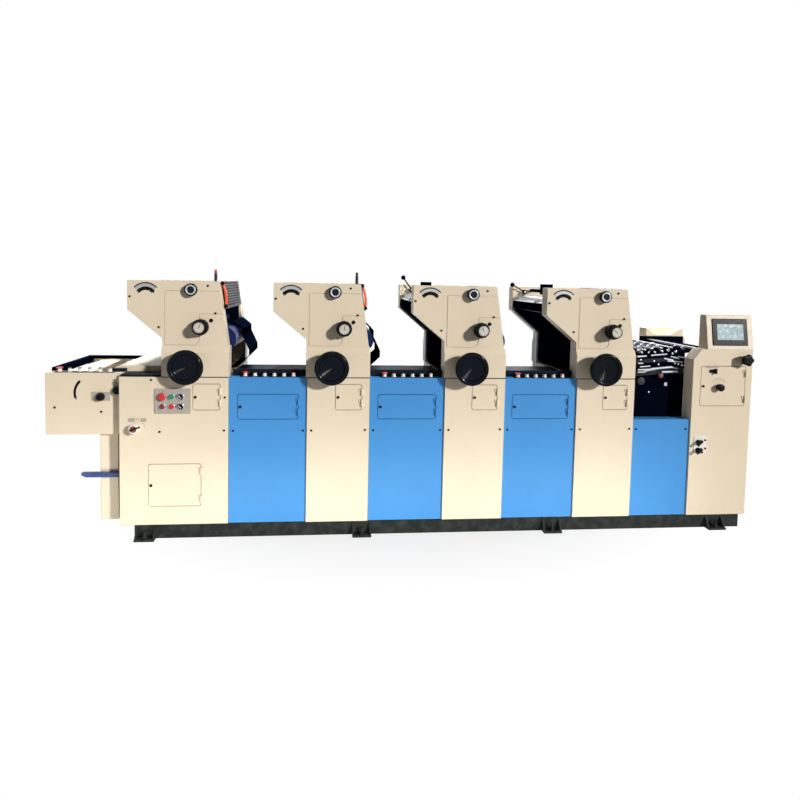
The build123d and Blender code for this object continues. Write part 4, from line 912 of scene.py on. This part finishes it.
run, fall, edge_x = 58.0, 399.0, 334
frame_top, hose_top, hose_low, hose_y = 1600, 1588, 1446, 92
nearest, bow = 12, 10
share = np.linspace(0, 1, 24)
height = hose_top + (hose_low - hose_top) * share
stand_off = nearest + bow * 4 * share * (1 - share)
along_x = edge_x + run * (frame_top - height) / fall + stand_off * fall / math.hypot(run, fall)
along_z = height + stand_off * run / math.hypot(run, fall)
hose_paths = [np.stack([s + along_x, 0 * share + hose_y, along_z], axis=-1) for s in unit_steps[:2]]
fitting = soften([(0, -12), (12, -12), (13, -9), (13, 9), (12, 12), (0, 12)], 1)
blocks = [turned(fitting, *path[k], 32) for path in hose_paths for k in (0, -1)]
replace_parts(make_piece("hose_tubes", [tube(path, 8) for path in hose_paths], hose_orange), "air_hoses")
make_piece("hose_fittings", blocks, knob_black)
pin_x, pin_y = 310, 65
sleeve = soften([(0, 0), (9.5, 0), (9.5, 50), (8.5, 53), (0, 53)], 1)
tip = soften([(0, 52), (8, 52), (8, 70), (6, 74.5), (0, 74.5)], 1)
sleeves = [upright(sleeve, s + pin_x, pin_y, frame_top) for s in unit_steps[:2]]
make_piece("lock_sleeves", sleeves, bezel_grey)
make_piece("lock_tip_red", [upright(tip, pin_x, pin_y, frame_top)], cap_red)
make_piece("lock_tip_grey", [upright(tip, unit_pitch + pin_x, pin_y, frame_top)], bezel_grey)
print("hoses", len(hose_paths), "about", round(float(np.ptp(along_z))), "mm high")


# %% [markdown]
# ## Unit seams and feed rods
# A thin black strip along each printing unit's seam with its cabinet is painted shade: it stands in
# for the shadow in the joint. Beside the feed table the side plate carries guide rods and slats. Each is
# a short straight tube, given by its two ends.

# %% Seams and feed rods
# Painted shade: a flat black strip where the joint between unit and cabinet lies in shadow.
seam_shade_strips = [plate(s, s + 400, 1010.6, 1015.0, 0, 0.5, 0.8, 0.2) for s in unit_steps]
make_piece("unit_seam_shade", seam_shade_strips, mark_black)


def rod(x0, z0, x1, z1, radius, y=98.0):
    """A straight rod on the near side plate, from one place to another."""
    share = np.linspace(0, 1, 5)
    path = [x0 + (x1 - x0) * share, 0 * share + y, z0 + (z1 - z0) * share]
    return tube(np.stack(path, axis=-1), radius, 20)


guide_ends = [(3078, 1149, 3142, 1154, 6), (3175, 1158, 3287, 1168, 5), (3315, 1152, 3375, 1139, 4),
              (3368, 1153, 3412, 1145, 4), (3268, 1139, 3333, 1126, 5), (3293, 1121, 3400, 1115, 5),
              (3177, 1066, 3319, 1080, 8), (3319, 1080, 3368, 1071, 6)]
slat_ends = [(3086, 1044, 3140, 1046, 5, 97), (3086, 1060, 3180, 1064, 6, 97),
             (3100, 1080, 3170, 1086, 5, 97), (3086, 1104, 3120, 1104, 5, 97)]
edge_ends = [(3256, 1046, 3366, 1050, 7), (3130, 1052, 3215, 1066, 6)]
for name, ends, material in (("feed_rods", guide_ends, bright_bar), ("feed_slats", slat_ends, scale_metal),
                             ("feed_edge", edge_ends, bright_bar)):
    make_piece(name, [rod(*end) for end in ends], material)
print("feed rods", len(guide_ends), "slats", len(slat_ends))


# %% [markdown]
# ## Feed nuts and wheels
# Thumb nuts hold the rods, and small white wheels above the sloping table hold the sheets down. Below,
# the well of the feeder has a round cover, a brown knob, a bare tag and a stud. They are small turned
# profiles; six lobes make the nuts.

# %% Feed nuts and wheels
boss = soften([(0, -10), (6, -10), (7.5, 2), (7, 7), (4.5, 9), (0, 9)], 1)
nut_spots = [(3158, 1179), (3203, 1180), (3255, 1187), (3351, 1184), (3328, 1171), (3111, 1178),
             (3132, 1196), (3290, 1196), (3349, 1106), (3373, 1100), (3400, 1093), (3200, 1120),
             (3232, 1098), (3104, 1128), (3060, 1120), (3060, 1060)]
make_piece("feed_nuts", [turned(boss, x, 104, z, 32, 6, 0.05) for x, z in nut_spots], chrome)
washer = soften([(15, -2), (22, -2), (22, 8), (15, 8), (15, -2)], 1)
make_piece("feed_ring", [turned(washer, 3386, 102, 1056, 40)], bezel_grey)
table_start, table_height, table_rise = 3016, 1157, 32 / 402
hold_down = soften([(0, -6), (10, -6), (13, -4), (13, 4), (10, 6), (0, 6)], 1)
wheel_spots = [(3311, 414), (3389, 453), (3365, 331), (3440, 252), (3440, 165), (3130, 176), (3318, 138),
               (3220, 300), (3260, 220), (3190, 420)]
wheels = [turned(hold_down, x, y, table_height + table_rise * (x - table_start) + 12, 32)
          for x, y in wheel_spots]
make_piece("feed_wheels", wheels, cap_white)
cover_line = soften([(0, 0), (27, 0), (28, 4), (25, 9), (12, 10), (0, 11)])
make_piece("feed_cover", [turned(cover_line, 3117, 110, 982, 48)], bezel_grey)
brown_line = soften([(0, 0), (13, 0), (14, 5), (10, 9), (16, 13), (17, 22), (12, 27), (0, 28)])
make_piece("feed_knob", [turned(brown_line, 3241, 98, 1024, 40)], knob_brown)
make_piece("feed_tag", [plate(3285, 3305, 949, 973, 110, 3, 3)], scale_metal)
make_piece("feed_stud", [turned(boss, 3175, 110, 908, 24)], chrome)
print("feed nuts", len(nut_spots), "wheels", len(wheels))


# %% [markdown]
# ## Floor and backdrop
# The press stands on a pale floor in a white room. More light on the floor would wash out the paint, so
# the white is shown only to rays that see the background: from the camera, off a glossy surface or
# through glass. Close to the press the floor keeps a share of its own shading, and with it the shadow.

# %% Floor and backdrop
def background_rays(tree):
    """One for rays that see the background: from the camera, off a glossy surface or through glass."""
    ray = add(tree, "LightPath")
    seen = combine(tree, ray["Is Camera Ray"], ray["Is Glossy Ray"], "MAXIMUM")
    return combine(tree, seen, ray["Is Transmission Ray"], "MAXIMUM")


def show_white(tree, share, shaded, white, output):
    """Mixes a shaded and a plain white surface by a share, and gives the result to the output node."""
    mixed = add(tree, "MixShader", {0: share, 1: shaded.outputs[0], 2: white})[0]
    feed(tree, tree.nodes[output].inputs, {"Surface": mixed})


floor_reach = 30
floor_mesh = bpy.data.meshes.new("floor")
floor_corners = [(x * floor_reach, y * floor_reach, 0) for x, y in ((-1, -1), (1, -1), (1, 1), (-1, 1))]
floor_mesh.from_pydata(floor_corners, [], [(0, 1, 2, 3)])
floor = place("floor", floor_mesh)
paper = bpy.data.materials.new("floor_paper")
paper.use_nodes = True
tree = paper.node_tree
shader = tree.nodes["Principled BSDF"]
feed(tree, shader.inputs, {"Base Color": (0.6, 0.6, 0.6, 1), "Roughness": 0.9, "Specular IOR Level": 0.1})
drawn_in = add(tree, "Mapping", {"Vector": object_coords(tree), "Scale": (0.3, 0.55, 0)})["Vector"]
distance = add(tree, "VectorMath", {0: drawn_in}, operation="LENGTH")["Value"]
fade = ramp(tree, distance, 0.3, 0.58, 0.8, 1.0)
glow = add(tree, "Emission", {"Strength": 1.0})[0]
show_white(tree, combine(tree, background_rays(tree), fade), shader, glow, "Material Output")
floor_mesh.materials.append(paper)
world = bpy.data.worlds.new("studio")
bpy.context.scene.world = world
world.use_nodes = True
sky = world.node_tree
dim = sky.nodes["Background"]
feed(sky, dim.inputs, {"Color": (0.94, 0.97, 1.0, 1), "Strength": 0.04})
white = add(sky, "Background", {"Color": (1, 1, 1, 1), "Strength": 1.0})[0]
show_white(sky, background_rays(sky), dim, white, "World Output")
print("floor", floor_reach * 2, "m wide, world strength", round(dim.inputs["Strength"].default_value, 3))


# %% [markdown]
# ## Light
# The photograph has one clear light, a window high on the right, which throws the knobs' shadows to the
# left. A sun lamp with a small angle stands for it, with a very faint fill on the left. A narrow strip
# above the press lights the tops, a low strip in front gives back what a pale floor reflects, and a
# lamp behind shows the drive side.

# %% Lamps
def lamp(name, spot, target, power, tint, kind="AREA"):
    """A lamp at a place, turned to face a target."""
    light = bpy.data.lights.new(name, kind)
    light.energy = power
    light.color = tint
    item = place(name, light)
    item.location = spot
    item.rotation_mode = "QUATERNION"
    item.rotation_quaternion = (Vector(target) - Vector(spot)).to_track_quat("-Z", "Y")
    return item


def strip_lamp(name, spot, target, power, tint, length, width, spread):
    """A rectangular lamp whose light leaves within a spread of angles."""
    item = lamp(name, spot, target, power, tint)
    item.data.shape = "RECTANGLE"
    item.data.size = length
    item.data.size_y = width
    item.data.spread = math.radians(spread)
    return item


window = lamp("window", (5.7, -6.0, 3.6), (0, 0, 0.8), 3.35, (1.0, 0.98, 0.95), "SUN")
window.data.angle = 0.09
soft_size, soft_tint = 4.0, (0.96, 0.98, 1.0)
for name, spot, target, power in (("fill", (-5.5, -5.0, 2.6), (0, 0, 0.6), 1),
                                  ("rear", (3.0, 6.0, 4.0), (0, 0, 0.7), 150)):
    lamp(name, spot, target, power, soft_tint).data.size = soft_size
strip_lamp("skylight", (0.0, 0.2, 3.8), (0.0, 0.16, 0), 38, (0.93, 0.97, 1.0), 5.4, 0.4, 24)
bounce = strip_lamp("floor_bounce", (-0.45, -1.1, 0.1), (-0.45, -0.4, 0.2), 6.6, (1.0, 0.99, 0.97),
                    4.5, 0.2, 110)
bounce.visible_glossy = False
bounce.visible_camera = False
bpy.context.scene.view_settings.view_transform = "Standard"
print("lamps", [item.name for item in bpy.data.lights])


# %% [markdown]
# The dressed press has to stay in the CAD model's box.
